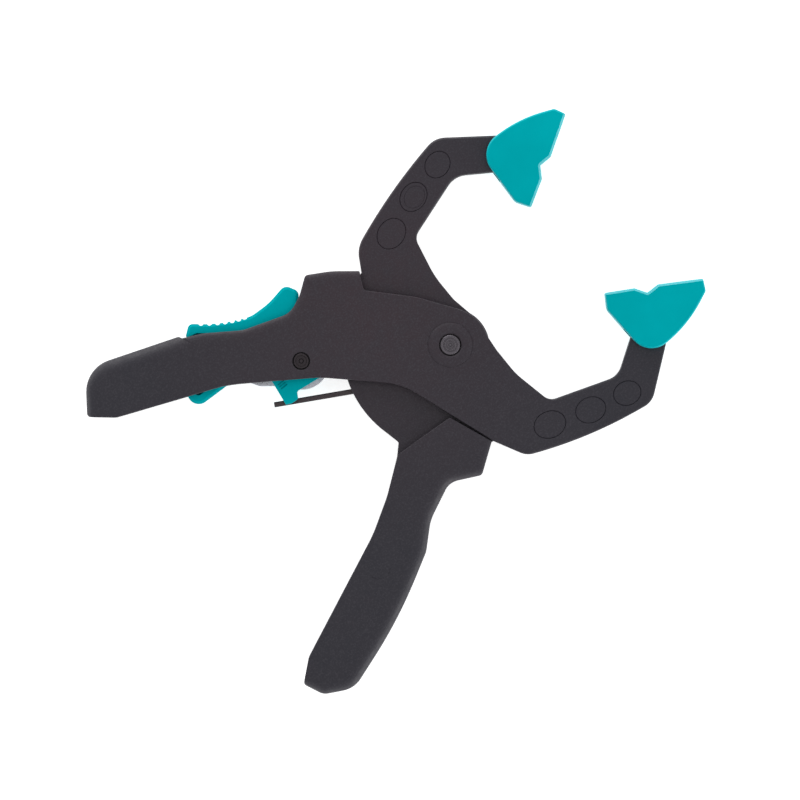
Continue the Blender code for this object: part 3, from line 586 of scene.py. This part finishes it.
def skin(rings):
    """Closed mesh through rings of points, each a list of (x, y, z) in millimetres."""
    mesh = bmesh.new()
    rows = [[mesh.verts.new((x * MM, y * MM, z * MM)) for x, y, z in ring] for ring in rings]
    count = len(rows[0])
    for lower, upper in zip(rows[:-1], rows[1:]):
        for index in range(count):
            following = (index + 1) % count
            mesh.faces.new((lower[index], lower[following], upper[following], upper[index]))
    mesh.faces.new(list(reversed(rows[0])))
    mesh.faces.new(rows[-1])
    return mesh


def object_from(name, mesh):
    """New object in the scene from a bmesh, faces pointing out."""
    bmesh.ops.recalc_face_normals(mesh, faces=mesh.faces)
    data = bpy.data.meshes.new(name)
    mesh.to_mesh(data)
    mesh.free()
    item = bpy.data.objects.new(name, data)
    bpy.context.scene.collection.objects.link(item)
    return item


def drops_for(corners):
    """Drops below the cap where rings are needed, dense where the tightest treatment turns."""
    drops = {0.0}
    for depth in {corner[3][1] for corner in corners}:
        for step in range(1, RING_STEPS + 1):
            drops.add(round(depth * (1.0 - cos(pi / 2 * step / RING_STEPS)), 4))
    return sorted(drops)


def slab(name, corners, low, high, tolerance=0.004):
    """Object with that outline between two heights, each edge of both rims treated as it asks."""
    corners = anticlockwise(corners)
    steps = fillet_steps(corners, tolerance)
    drops = drops_for(corners)
    levels = [(low + drop, drop) for drop in drops] + [(high - drop, drop) for drop in reversed(drops)]
    rings = []
    for height, drop in levels:
        points = rounded(inset(corners, drop), steps)
        rings.append([(x, y, height) for x, y in points])
    return object_from(name, skin(rings))


def turned(name, centre, profile, sides=72):
    """Solid turned about a Z axis from (radius, height) pairs, bottom to top."""
    rings = []
    for radius, height in profile:
        ring = []
        for index in range(sides):
            angle = 2 * pi * index / sides
            ring.append((centre[0] + radius * cos(angle), centre[1] + radius * sin(angle), height))
        rings.append(ring)
    return object_from(name, skin(rings))


def disc(name, centre, radius, low, high, sides=72):
    """Round bar along Z."""
    return turned(name, centre, [(radius, low), (radius, high)], sides)


def combine(target, tool, operation):
    """Boolean one object with another, and remove the tool."""
    modifier = target.modifiers.new("combine", "BOOLEAN")
    modifier.operation = operation
    modifier.solver = "EXACT"
    modifier.object = tool
    graph = bpy.context.evaluated_depsgraph_get()
    result = bpy.data.meshes.new_from_object(target.evaluated_get(graph))
    target.modifiers.clear()
    old = target.data
    target.data = result
    bpy.data.meshes.remove(old)
    tool_mesh = tool.data
    bpy.data.objects.remove(tool)
    bpy.data.meshes.remove(tool_mesh)


def cut(target, *tools):
    """Take the tools away from the target."""
    for tool in tools:
        combine(target, tool, "DIFFERENCE")


def join(target, *tools):
    """Add the tools to the target."""
    for tool in tools:
        combine(target, tool, "UNION")


def bore(target, spot, radius, sides=72):
    """Round hole right through the target."""
    cut(target, disc("bore", spot, radius, -THROUGH, THROUGH, sides))


def slice_mesh(mesh, spot, normal):
    """New edges where a plane crosses the mesh."""
    geometry = list(mesh.verts) + list(mesh.edges) + list(mesh.faces)
    bmesh.ops.bisect_plane(mesh, geom=geometry, dist=SLICE_WELD, plane_co=spot, plane_no=normal)


def tidy(item, break_edges=0.0, sharp=32.0):
    """Weld slivers, break cut edges, lift to the middle plane and shade smooth."""
    mesh = bmesh.new()
    mesh.from_mesh(item.data)
    bmesh.ops.remove_doubles(mesh, verts=mesh.verts, dist=WELD)
    bmesh.ops.dissolve_degenerate(mesh, edges=mesh.edges, dist=WELD)
    bmesh.ops.translate(mesh, verts=mesh.verts, vec=(0.0, 0.0, MID_HEIGHT * MM))
    mesh.to_mesh(item.data)
    mesh.free()
    item.data.shade_smooth()
    item.data.set_sharp_from_angle(angle=radians(sharp))
    if break_edges:
        bevel = item.modifiers.new("broken edges", "BEVEL")
        bevel.width = break_edges * MM
        bevel.segments = 2
        bevel.limit_method = "ANGLE"
        bevel.angle_limit = radians(55.0)
        bevel.use_clamp_overlap = True
    weighted = item.modifiers.new("flat faces stay flat", "WEIGHTED_NORMAL")
    weighted.keep_sharp = True
    return item


def place(item, body, slot, paint, *nodes):
    """Give a piece its material and its body, and hide the CAD nodes that it stands in for."""
    item.data.materials.clear()
    item.data.materials.append(paint)
    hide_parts(*nodes)
    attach(item, body)
    return item


# Materials --------------------------------------------------------------------------------------

class Paint:
    """A node material around one Principled shader, with patterns in real millimetres."""

    def __init__(self, name, roughness, metallic=0.0):
        """New material with the shader's plain values."""
        self.material = bpy.data.materials.new(name)
        self.material.use_nodes = True
        self.tree = self.material.node_tree
        self.shader = self.tree.nodes["Principled BSDF"]
        self.shader.inputs["Roughness"].default_value = roughness
        self.shader.inputs["Metallic"].default_value = metallic
        self.place = self.tree.nodes.new("ShaderNodeTexCoord").outputs["Object"]

    def noise(self, size_mm, detail=2.0, vector=None):
        """Soft noise whose blobs are about that size."""
        node = self.tree.nodes.new("ShaderNodeTexNoise")
        node.inputs["Scale"].default_value = 1.0 / (size_mm * MM)
        node.inputs["Detail"].default_value = detail
        self.tree.links.new(vector or self.place, node.inputs["Vector"])
        return node.outputs["Fac"]

    def distance(self, spot):
        """Distance from a point given in millimetres."""
        node = self.tree.nodes.new("ShaderNodeVectorMath")
        node.operation = "DISTANCE"
        node.inputs[1].default_value = [value * MM for value in spot]
        self.tree.links.new(self.place, node.inputs[0])
        return node.outputs["Value"]

    def ramp(self, source, low, high, start=0.3, end=0.7):
        """Number or colour that runs from low to high as the source runs from start to end."""
        node = self.tree.nodes.new("ShaderNodeMapRange")
        node.inputs["From Min"].default_value = start
        node.inputs["From Max"].default_value = end
        node.inputs["To Min"].default_value = low
        node.inputs["To Max"].default_value = high
        self.tree.links.new(source, node.inputs["Value"])
        return node.outputs["Result"]

    def blend(self, source, first, second):
        """Colour between two, by a number from 0 to 1."""
        node = self.tree.nodes.new("ShaderNodeMix")
        node.data_type = "RGBA"
        self.tree.links.new(source, node.inputs["Factor"])
        for socket, value in (("A", first), ("B", second)):
            target = [s for s in node.inputs if s.name == socket and s.type == "RGBA"][0]
            if isinstance(value, tuple):
                target.default_value = (*value, 1.0)
            else:
                self.tree.links.new(value, target)
        return [s for s in node.outputs if s.type == "RGBA"][0]

    def bump(self, source, depth_mm, strength=1.0, below=None):
        """Bump of that real height, on top of another one if given."""
        node = self.tree.nodes.new("ShaderNodeBump")
        node.inputs["Strength"].default_value = strength
        node.inputs["Distance"].default_value = depth_mm * MM
        self.tree.links.new(source, node.inputs["Height"])
        if below is not None:
            self.tree.links.new(below, node.inputs["Normal"])
        return node.outputs["Normal"]

    def into(self, source, socket):
        """Feed one of the shader's own sockets."""
        self.tree.links.new(source, self.shader.inputs[socket])


def nylon():
    """Charcoal glass-filled nylon with a fine spark-eroded grain."""
    paint = Paint("charcoal nylon", 0.52)
    cloud = paint.noise(16.0, 3.0)
    flow = paint.noise(4.5, 4.0)
    fleck = paint.noise(0.52, 2.0)
    cool = paint.blend(paint.ramp(cloud, 0.0, 1.0),
                       (0.0110, 0.0102, 0.0190), (0.0135, 0.0122, 0.0212))
    reach = paint.distance((-10.0, 25.0, 8.0))
    warm = paint.blend(paint.ramp(reach, 1.0, 0.0, 10.0 * MM, 75.0 * MM),
                       cool, (0.0250, 0.0122, 0.0205))
    base = paint.blend(paint.ramp(flow, 0.0, 0.5, 0.35, 0.75), warm, (0.0185, 0.0150, 0.0240))
    light = paint.blend(paint.ramp(fleck, 0.0, 0.5, 0.48, 0.70), base, (0.042, 0.038, 0.050))
    paint.into(light, "Base Color")
    paint.into(paint.ramp(paint.noise(1.6, 3.0), 0.46, 0.60), "Roughness")
    grain = paint.bump(paint.noise(0.42, 3.0), 0.022)
    paint.into(paint.bump(paint.noise(7.0, 2.0), 0.06, below=grain), "Normal")
    return paint.material


def teal_plastic():
    """Satin teal moulding."""
    paint = Paint("teal plastic", 0.38)
    paint.shader.inputs["Specular Tint"].default_value = (0.0, 0.92, 1.0, 1.0)
    cloud = paint.noise(9.0, 2.0)
    base = paint.blend(paint.ramp(cloud, 0.0, 1.0), (0.0, 0.392, 0.440), (0.0, 0.420, 0.471))
    paint.into(base, "Base Color")
    paint.into(paint.ramp(paint.noise(2.0, 3.0), 0.34, 0.44), "Roughness")
    paint.into(paint.bump(paint.noise(0.5, 2.0), 0.008), "Normal")
    return paint.material


def brushed(name, colour, light, roughness):
    """Worked steel: a fine grain across it, small stains and roughness that varies."""
    paint = Paint(name, roughness, 1.0)
    stretch = paint.tree.nodes.new("ShaderNodeMapping")
    stretch.inputs["Scale"].default_value = (1.0, 9.0, 1.0)
    paint.tree.links.new(paint.place, stretch.inputs["Vector"])
    lines = paint.noise(1.2, 4.0, stretch.outputs["Vector"])
    paint.into(paint.blend(paint.ramp(lines, 0.0, 1.0), colour, light), "Base Color")
    paint.into(paint.ramp(paint.noise(0.9, 3.0), roughness - 0.06, roughness + 0.10), "Roughness")
    paint.into(paint.bump(lines, 0.006), "Normal")
    return paint.material


def turned_steel(name, centre, colour, light, roughness):
    """Steel faced on a lathe: fine rings about the pin's own axis."""
    paint = Paint(name, roughness, 1.0)
    shift = paint.tree.nodes.new("ShaderNodeMapping")
    shift.inputs["Location"].default_value = (-centre[0] * MM, -centre[1] * MM, 0.0)
    paint.tree.links.new(paint.place, shift.inputs["Vector"])
    rings = paint.tree.nodes.new("ShaderNodeTexWave")
    rings.wave_type = "RINGS"
    rings.rings_direction = "Z"
    rings.inputs["Scale"].default_value = 0.5 / (0.45 * MM)
    rings.inputs["Distortion"].default_value = 0.4
    paint.tree.links.new(shift.outputs["Vector"], rings.inputs["Vector"])
    paint.into(paint.blend(rings.outputs["Fac"], colour, light), "Base Color")
    paint.into(paint.ramp(paint.noise(0.7, 2.0), roughness - 0.05, roughness + 0.08), "Roughness")
    paint.into(paint.bump(rings.outputs["Fac"], 0.012), "Normal")
    return paint.material


# Pieces -----------------------------------------------------------------------------------------

def lever_height(x, y):
    """Half thickness of the outer lever at a point: only its jaw, at the lower right, is thinned."""
    if x < -20.0 or y > 10.0:
        return LEVER_HALF
    along = x * TAPER_DIRECTION.x + y * TAPER_DIRECTION.y
    share = min(max((along - TAPER_START) / (TAPER_END - TAPER_START), 0.0), 1.0)
    return LEVER_HALF - share * (LEVER_HALF - PLATE_HALF)


def thin_the_jaw(item):
    """Lower the jaw's faces evenly from the cheeks' height to the jaw tips' height."""
    mesh = bmesh.new()
    mesh.from_mesh(item.data)
    for reach in (TAPER_START, TAPER_END):
        slice_mesh(mesh, TAPER_DIRECTION * reach * MM, TAPER_DIRECTION)
    for vert in mesh.verts:
        vert.co.z *= lever_height(vert.co.x / MM, vert.co.y / MM) / LEVER_HALF
    mesh.to_mesh(item.data)
    mesh.free()


def level(height):
    """Flat surface, for oval_groove."""
    return lambda x, y: height


def oval_groove(centre, long_radius, short_radius, tilt, height, width=0.42, depth=0.22,
                start=0.0, sweep=360.0):
    """Cutter for a fine oval line engraved in the front of an arm; height gives the surface there."""
    count = max(int(72 * sweep / 360.0), 12)
    closed = sweep >= 360.0
    mesh = bmesh.new()
    rows = []
    for index in range(count if closed else count + 1):
        angle = radians(start + sweep * index / count)
        ring = []
        for radial, rise in ((-width / 2, 0.15), (0.0, -depth), (width / 2, 0.15)):
            along = (long_radius + radial) * cos(angle)
            across = (short_radius + radial) * sin(angle)
            x = centre[0] + along * cos(tilt) - across * sin(tilt)
            y = centre[1] + along * sin(tilt) + across * cos(tilt)
            ring.append(mesh.verts.new((x * MM, y * MM, (height(x, y) + rise) * MM)))
        rows.append(ring)
    pairs = list(zip(rows[:-1], rows[1:]))
    if closed:
        pairs.append((rows[-1], rows[0]))
    for first, second in pairs:
        for side in range(3):
            following = (side + 1) % 3
            mesh.faces.new((first[side], first[following], second[following], second[side]))
    if not closed:
        mesh.faces.new(list(reversed(rows[0])))
        mesh.faces.new(rows[-1])
    return object_from("groove", mesh)


def boss():
    """Raised boss round the main rivet, its rim rounded off."""
    top = LEVER_HALF + BOSS_RISE
    profile = [
        (BOSS_RADIUS, LEVER_HALF - 1.0),
        (BOSS_RADIUS, LEVER_HALF + 0.02),
        (BOSS_RADIUS - 0.50, LEVER_HALF + 0.13),
        (BOSS_RADIUS - 1.00, LEVER_HALF + 0.24),
        (BOSS_RADIUS - 1.60, top - 0.03),
        (BOSS_RADIUS - 2.20, top),
        (PIVOT_HEAD_RECESS + 0.55, top),
        (PIVOT_HEAD_RECESS + 0.30, top - 0.04),
        (PIVOT_HEAD_RECESS - 0.10, top - 0.30),
    ]
    return turned("boss", PIVOT, profile, 96)


def spring_fixed_end():
    """Where the opening spring's short leg enters the back cheek."""
    angle = SPRING_LEG_ANGLE - pi / 2
    return (SPRING_RADIUS * cos(angle), SPRING_RADIUS * sin(angle))


def outer_lever():
    """Lower jaw, forked hub with two cheeks, and the upper handle."""
    body = slab("lever_outer", outer_lever_outline(), -LEVER_HALF, LEVER_HALF)
    thin_the_jaw(body)
    join(body, boss())
    cut(body, oval_groove(PIVOT, 6.75, 6.75, 0.0, level(LEVER_HALF), 1.3, 0.17))
    cut(body, slab("fork", fork_outline(), -FORK_HALF, FORK_HALF))
    bore(body, PIVOT, SLEEVE_INNER)
    bore(body, RELEASE_PIN, RELEASE_BORE)
    for low, high in ((-THROUGH, -REAR_FLOOR), (FRONT_FLOOR, THROUGH)):
        cut(body, disc("pivot_recess", PIVOT, PIVOT_HEAD_RECESS, low, high))
        cut(body, disc("release_recess", RELEASE_PIN, RELEASE_HEAD_RECESS, low, high))
    bore(body, pad_pin_place(-1), PAD_PIN_BORE, 48)
    cut(body, disc("spring_hole", spring_fixed_end(), SPRING_WIRE + 0.35, -7.6, -4.0, 24))
    for mark in LOWER_MARKS:
        cut(body, oval_groove(*mark, -ARM_TILT, lever_height))
    return tidy(body, 0.18)


def strip_line(distance, side=0.0):
    """Point that far along the locking strip from its eye, and that far to its pivot side."""
    along = Vector((cos(STRIP_ANGLE), sin(STRIP_ANGLE)))
    towards_pivot = Vector((sin(STRIP_ANGLE), -cos(STRIP_ANGLE)))
    behind = (STRIP_OFFSET - STRIP_BOW) * tan(CLOSING_ANGLE / 2)
    eye = -towards_pivot * STRIP_OFFSET - along * behind
    return eye + along * distance + towards_pivot * side


def strip_sweep_outline():
    """Sector that the strip sweeps inside the inner lever's plate as the clamp closes."""
    anchor = strip_line(0.0, STRIP_BOW)
    clear = STRIP_THICK_HALF + STRIP_BOW + 0.35
    shut_angle = STRIP_ANGLE + CLOSING_ANGLE
    corners = []
    for angle, side, reach in ((STRIP_ANGLE, -1, 0.0), (STRIP_ANGLE, -1, 45.0),
                               (shut_angle, 1, 45.0), (shut_angle, 1, 0.0)):
        x = anchor.x + reach * cos(angle) - side * clear * sin(angle)
        y = anchor.y + reach * sin(angle) + side * clear * cos(angle)
        corners.append((x, y, 0.0, NONE))
    return corners


def spring_leg_slot():
    """Straight slot in the inner lever's back face for the spring's long leg."""
    along = Vector((cos(SPRING_LEG_ANGLE), sin(SPRING_LEG_ANGLE)))
    across = Vector((-along.y, along.x))
    root = -across * SPRING_RADIUS
    half = SPRING_WIRE + 0.4
    corners = []
    for reach, side in ((0.0, -half), (12.6, -half), (12.6, half), (0.0, half)):
        spot = root + along * reach + across * side
        corners.append((spot.x, spot.y, 0.0, NONE))
    return slab("leg_slot", corners, -THROUGH, 0.1)


def inner_lever():
    """Upper jaw, round plate inside the fork, and the lower handle."""
    body = slab("lever_inner", inner_plate_outline(), -PLATE_HALF, PLATE_HALF)
    handle = slab("handle", inner_handle_outline(), -LEVER_HALF, LEVER_HALF)
    cut(handle, slab("channel", inner_channel_outline(), -FORK_HALF, FORK_HALF))
    join(body, handle)
    anchor = strip_line(0.0, STRIP_BOW)
    cut(body, slab("strip_sweep", strip_sweep_outline(), -STRIP_SLOT_HALF, STRIP_SLOT_HALF))
    cut(body, disc("eye_pocket", anchor, EYE_POCKET, -STRIP_SLOT_HALF, STRIP_SLOT_HALF, 48))
    bore(body, anchor, ANCHOR_BORE, 36)
    bore(body, PIVOT, HUB_BORE)
    cut(body, disc("spring_pocket", PIVOT, SPRING_POCKET, -THROUGH, 0.1))
    cut(body, spring_leg_slot())
    bore(body, pad_pin_place(1), PAD_PIN_BORE, 48)
    for mark in UPPER_MARKS:
        cut(body, oval_groove(*mark, ARM_TILT, level(PLATE_HALF)))
    cut(body, oval_groove(*MIDDLE_RING, ARM_TILT, level(PLATE_HALF), 0.30, 0.08))
    cut(body, oval_groove(*HANDLE_MARK, 0.0, level(LEVER_HALF), 0.50, 0.07, 185.0, 135.0))
    return tidy(body, 0.18)


def main_rivet():
    """Main pivot: front head with a sloping rim, tool rings and a centre pip, flush head behind."""
    top = LEVER_HALF + BOSS_RISE
    profile = [
        (PIVOT_HEAD - 0.25, -LEVER_HALF),
        (PIVOT_HEAD - 0.06, -LEVER_HALF + 0.06),
        (PIVOT_HEAD, -LEVER_HALF + 0.25),
        (PIVOT_HEAD, -REAR_HEAD),
        (PIVOT_SHANK, -REAR_HEAD),
        (PIVOT_SHANK, HEAD_SEAT),
        (PIVOT_HEAD, HEAD_SEAT),
        (PIVOT_HEAD, top - 0.30),
        (PIVOT_HEAD - 0.08, top - 0.10),
        (PIVOT_HEAD - 0.20, top - 0.02),
        (PIVOT_HEAD - 0.30, top),
        (2.18, top - 0.08),
        (2.10, top - 0.60),
        (1.84, top - 0.60),
        (1.76, top - 0.22),
        (1.42, top - 0.18),
        (1.34, top - 0.48),
        (1.08, top - 0.48),
        (1.00, top - 0.20),
        (0.68, top - 0.20),
        (0.60, top - 0.44),
        (0.44, top - 0.44),
        (0.36, top - 0.14),
        (0.02, top - 0.10),
    ]
    return tidy(turned("rivet", PIVOT, profile), sharp=50.0)


def release_pin():
    """Release pin: front head with a bevelled rim round a recess, and a pip in its middle."""
    top = LEVER_HALF
    profile = [
        (RELEASE_HEAD - 0.2, -top),
        (RELEASE_HEAD, -top + 0.2),
        (RELEASE_HEAD, -REAR_HEAD),
        (RELEASE_SHANK, -REAR_HEAD),
        (RELEASE_SHANK, HEAD_SEAT),
        (RELEASE_HEAD, HEAD_SEAT),
        (RELEASE_HEAD - 0.06, top - 0.30),
        (RELEASE_HEAD - 0.12, top - 0.10),
        (RELEASE_HEAD - 0.22, top - 0.04),
        (RELEASE_HEAD - 0.66, top - 0.10),
        (RELEASE_HEAD - 0.78, top - 0.72),
        (0.72, top - 0.75),
        (0.52, top - 0.30),
        (0.03, top - 0.20),
    ]
    return tidy(turned("release_rivet", RELEASE_PIN, profile), sharp=50.0)


def lock_strip():
    """Flat steel strip with broken edges and a rolled eye on the anchor pin."""
    half = STRIP_THICK_HALF
    corners = []
    for distance, side in ((0.0, -half), (STRIP_END, -half), (STRIP_END, half), (0.0, half)):
        spot = strip_line(distance, side)
        corners.append((spot.x, spot.y, 0.0, (0.22, 0.35, "flat")))
    item = slab("strip", corners, -STRIP_WIDTH_HALF, STRIP_WIDTH_HALF)
    eye = strip_line(0.0)
    join(item, disc("eye", eye, EYE_RADIUS, -STRIP_WIDTH_HALF + 0.01, STRIP_WIDTH_HALF - 0.01))
    bore(item, eye, EYE_HOLE)
    return tidy(item, 0.06)


def scallop(index):
    """Centre of the hollow between two of the ridges, which follow the thumb piece's back."""
    share = index / (SCALLOPS - 1)
    start, bend, end = SCALLOP_CURVE
    return start.lerp(bend, share).lerp(bend.lerp(end, share), share)


def release_lever():
    """Thumb piece, web and finger loop in one moulding."""
    item = slab("release_moulding", thumb_outline(), -TRIGGER_HALF, TRIGGER_HALF)
    for index in range(SCALLOPS):
        bore(item, scallop(index), SCALLOP_RADIUS, 40)
    join(item, slab("web", trigger_web_outline(), -WEB_HALF, WEB_HALF))
    join(item, slab("loop", loop_outline(), -TRIGGER_HALF, TRIGGER_HALF))
    bore(item, RELEASE_PIN, RELEASE_BORE)
    bore(item, LOCK_RIVET, LOCK_RIVET_BORE, 40)
    return tidy(item, 0.10)


def lock_plate(name, side):
    """One of the two steel plates that carry the foot's pull to the release pin."""
    low, high = sorted((side * PLATE_INNER, side * PLATE_OUTER))
    item = slab(name, lock_plate_outline(), low, high)
    bore(item, RELEASE_PIN, RELEASE_BORE)
    bore(item, LOCK_RIVET, LOCK_RIVET_BORE, 40)
    return tidy(item)


def across_strip(distance, low_side, high_side, half_length):
    """Rectangle square to the strip, that far along it."""
    corners = []
    for along, side in ((-half_length, low_side), (half_length, low_side),
                        (half_length, high_side), (-half_length, high_side)):
        spot = strip_line(distance + along, side)
        corners.append((spot.x, spot.y, 0.0, NONE))
    return corners


def rib_groove(index):
    """One of the short grooves on the foot's wall, all parallel to the centre line."""
    y = RIB_START + RIB_SPACING * index
    left, right = RIB_ENDS
    corners = [
        (left, y - RIB_HALF, 0.1, NONE),
        (right, y - RIB_HALF, 0.1, NONE),
        (right, y + RIB_HALF, 0.1, NONE),
        (left, y + RIB_HALF, 0.1, NONE),
    ]
    return slab("rib", corners, TRIGGER_HALF - 0.7, TRIGGER_HALF + 1.0)


def locking_foot():
    """Foot that straddles the strip, with a pocket for the steel grip plate."""
    item = slab("foot", foot_outline(), -TRIGGER_HALF, TRIGGER_HALF)
    cut(item, slab("inside", foot_inside_outline(), -FOOT_WALL_INNER, FOOT_WALL_INNER))
    slot = across_strip(FOOT_STATION, -6.0, STRIP_THICK_HALF + CLEARANCE, 7.0)
    cut(item, slab("strip_slot", slot, -STRIP_SLOT_HALF, STRIP_SLOT_HALF))
    pocket = across_strip(FOOT_STATION, -6.0, GRIP_TOP + CLEARANCE, GRIP_HALF_THICK + CLEARANCE)
    cut(item, slab("grip_pocket", pocket, -GRIP_HALF_WIDTH - CLEARANCE, GRIP_HALF_WIDTH + CLEARANCE))
    bore(item, RELEASE_PIN, RELEASE_BORE)
    bore(item, LOCK_RIVET, LOCK_RIVET_BORE, 40)
    for index in range(RIBS):
        cut(item, rib_groove(index))
    return tidy(item, 0.06)


def crown_the_pad(item, pin, side):
    """Curve both flanks down towards the two ends of the gripping face."""
    along = Vector((cos(PAD_FACE_ANGLE), side * sin(PAD_FACE_ANGLE), 0.0))
    middle = Vector((pin[0] + 4.4, pin[1] - side * 2.6, 0.0))
    mesh = bmesh.new()
    mesh.from_mesh(item.data)
    for step in range(-PAD_SLICES, PAD_SLICES + 1):
        slice_mesh(mesh, (middle + along * (step * PAD_REACH / PAD_SLICES)) * MM, along)
    for vert in mesh.verts:
        share = (vert.co / MM - middle).dot(along) / PAD_REACH
        vert.co.z *= 1.0 - PAD_CROWN / PAD_HALF * share * share
    mesh.to_mesh(item.data)
    mesh.free()


def jaw_pad(name, side):
    """Swivelling pad; side is 1 for the upper jaw and -1 for the lower."""
    outline = on_jaw(pad_outline(), side)
    opening = on_jaw(pad_slot_outline(), side)
    pin = pad_pin_place(side)
    item = slab(name, outline, -PAD_HALF, PAD_HALF)
    crown_the_pad(item, pin, side)
    cut(item, slab("slot", opening, -PAD_SLOT_HALF, PAD_SLOT_HALF))
    cut(item, disc("pin_bore", pin, PAD_PIN_BORE, -PAD_BORE_HALF + 0.6, PAD_BORE_HALF - 0.6, 48))
    return tidy(item, 0.15)


# Scene ------------------------------------------------------------------------------------------

def build():
    """Make every visible piece, and give the CAD nodes that stay their materials."""
    charcoal = nylon()
    teal = teal_plastic()
    zinc = brushed("zinc plate", (0.58, 0.59, 0.65), (0.76, 0.77, 0.83), 0.30)
    black = brushed("black steel", (0.058, 0.048, 0.051), (0.105, 0.090, 0.095), 0.42)
    grey = brushed("grey steel", (0.24, 0.23, 0.25), (0.34, 0.33, 0.35), 0.34)
    rivet_steel = turned_steel("rivet steel", PIVOT,
                               (0.085, 0.077, 0.088), (0.200, 0.183, 0.205), 0.27)
    pin_steel = turned_steel("pin steel", RELEASE_PIN,
                             (0.036, 0.030, 0.034), (0.068, 0.059, 0.064), 0.34)
    place(outer_lever(), "outer", "lever_nylon", charcoal, "outer_lever")
    place(inner_lever(), "inner", "lever_nylon", charcoal, "inner_lever")
    place(main_rivet(), "outer", "turned_steel", rivet_steel, "main_rivet")
    place(release_pin(), "outer", "turned_steel", pin_steel, "release_pin")
    place(lock_strip(), "strip", "black_steel", black, "lock_strip")
    place(release_lever(), "trigger", "teal_plastic", teal, "release_lever")
    place(lock_plate("front_plate", 1), "trigger", "zinc_steel", zinc, "lock_plate_front")
    place(lock_plate("rear_plate", -1), "trigger", "zinc_steel", zinc, "lock_plate_rear")
    place(locking_foot(), "trigger", "teal_plastic", teal, "locking_foot")
    place(jaw_pad("pad_upper", 1), "pad_upper", "teal_plastic", teal, "jaw_pad_upper")
    place(jaw_pad("pad_lower", -1), "pad_lower", "teal_plastic", teal, "jaw_pad_lower")
    kept = {
        "main_rivet_washer": zinc,
        "release_pin_washer": zinc,
        "pivot_sleeve": grey,
        "opening_spring": black,
        "anchor_pin": grey,
        "grip_plate": black,
        "lock_rivet": grey,
        "release_spring": black,
        "pad_pin_upper": grey,
        "pad_pin_lower": grey,
    }
    for node, paint in kept.items():
        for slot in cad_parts[node].material_slots:
            slot.material = paint


def floor():
    """Plain pale floor."""
    mesh = bmesh.new()
    bmesh.ops.create_grid(mesh, x_segments=1, y_segments=1, size=3.0)
    item = object_from("floor", mesh)
    paint = bpy.data.materials.new("floor")
    paint.use_nodes = True
    shader = paint.node_tree.nodes["Principled BSDF"]
    shader.inputs["Base Color"].default_value = (0.90, 0.90, 0.90, 1.0)
    shader.inputs["Roughness"].default_value = 0.9
    shader.inputs["Emission Color"].default_value = (1.0, 1.0, 1.0, 1.0)
    shader.inputs["Emission Strength"].default_value = 0.75
    item.data.materials.append(paint)
    item.location.z = -0.0002


IMAGE_TURN = radians(-39.0)     # the picture's level direction, in the clamp's plane
PICTURE_CENTRE = (-22.13, -3.35)
PICTURE_WIDTH = 240.0
CAMERA_LENS = 420.0
CAMERA_SENSOR = 36.0


def camera():
    """Long lens straight above the clamp."""
    data = bpy.data.cameras.new("camera")
    data.lens = CAMERA_LENS
    data.sensor_width = CAMERA_SENSOR
    item = bpy.data.objects.new("camera", data)
    bpy.context.scene.collection.objects.link(item)
    height = PICTURE_WIDTH * CAMERA_LENS / CAMERA_SENSOR + MID_HEIGHT + LEVER_HALF
    item.location = (PICTURE_CENTRE[0] * MM, PICTURE_CENTRE[1] * MM, height * MM)
    item.rotation_euler = (0.0, 0.0, IMAGE_TURN)
    bpy.context.scene.camera = item
    bpy.context.scene.view_settings.view_transform = "Standard"


def soft_box(name, size, strength, across, up, height):
    """Area light above the clamp, placed by the picture's own right and up directions."""
    data = bpy.data.lights.new(name, "AREA")
    data.shape = "RECTANGLE"
    data.size, data.size_y = size
    data.energy = strength
    item = bpy.data.objects.new(name, data)
    bpy.context.scene.collection.objects.link(item)
    right = Vector((cos(IMAGE_TURN), sin(IMAGE_TURN), 0.0))
    upward = Vector((-sin(IMAGE_TURN), cos(IMAGE_TURN), 0.0))
    middle = Vector((-0.02, 0.0, 0.0))
    item.location = right * across + upward * up + Vector((middle.x, 0.0, height))
    aim = middle - item.location
    item.rotation_euler = aim.to_track_quat("-Z", "Y").to_euler()


# Brightness of the room from its walls (0) up to straight overhead (1)
ROOM = ((0.0, 1.50), (0.30, 0.75), (0.76, 0.45), (0.86, 0.95), (0.965, 0.95), (0.985, 0.35))


def light():
    """White room, with a soft box at the picture's top and another at its lower right."""
    world = bpy.data.worlds.new("studio")
    world.use_nodes = True
    tree = world.node_tree
    direction = tree.nodes.new("ShaderNodeTexCoord")
    height = tree.nodes.new("ShaderNodeSeparateXYZ")
    rise = tree.nodes.new("ShaderNodeValToRGB")
    ramp = rise.color_ramp
    for index, (position, strength) in enumerate(ROOM):
        stop = ramp.elements[index] if index < 2 else ramp.elements.new(position)
        stop.position = position
        stop.color = (strength, strength, strength, 1.0)
    tree.links.new(direction.outputs["Generated"], height.inputs["Vector"])
    tree.links.new(height.outputs["Z"], rise.inputs["Fac"])
    tree.links.new(rise.outputs["Color"], tree.nodes["Background"].inputs["Color"])
    bpy.context.scene.world = world
    soft_box("key", (0.9, 0.4), 3.2, -0.25, 0.80, 0.27)
    soft_box("rim", (0.9, 0.3), 2.5, 0.75, -0.55, 0.16)


build()
floor()
camera()
light()
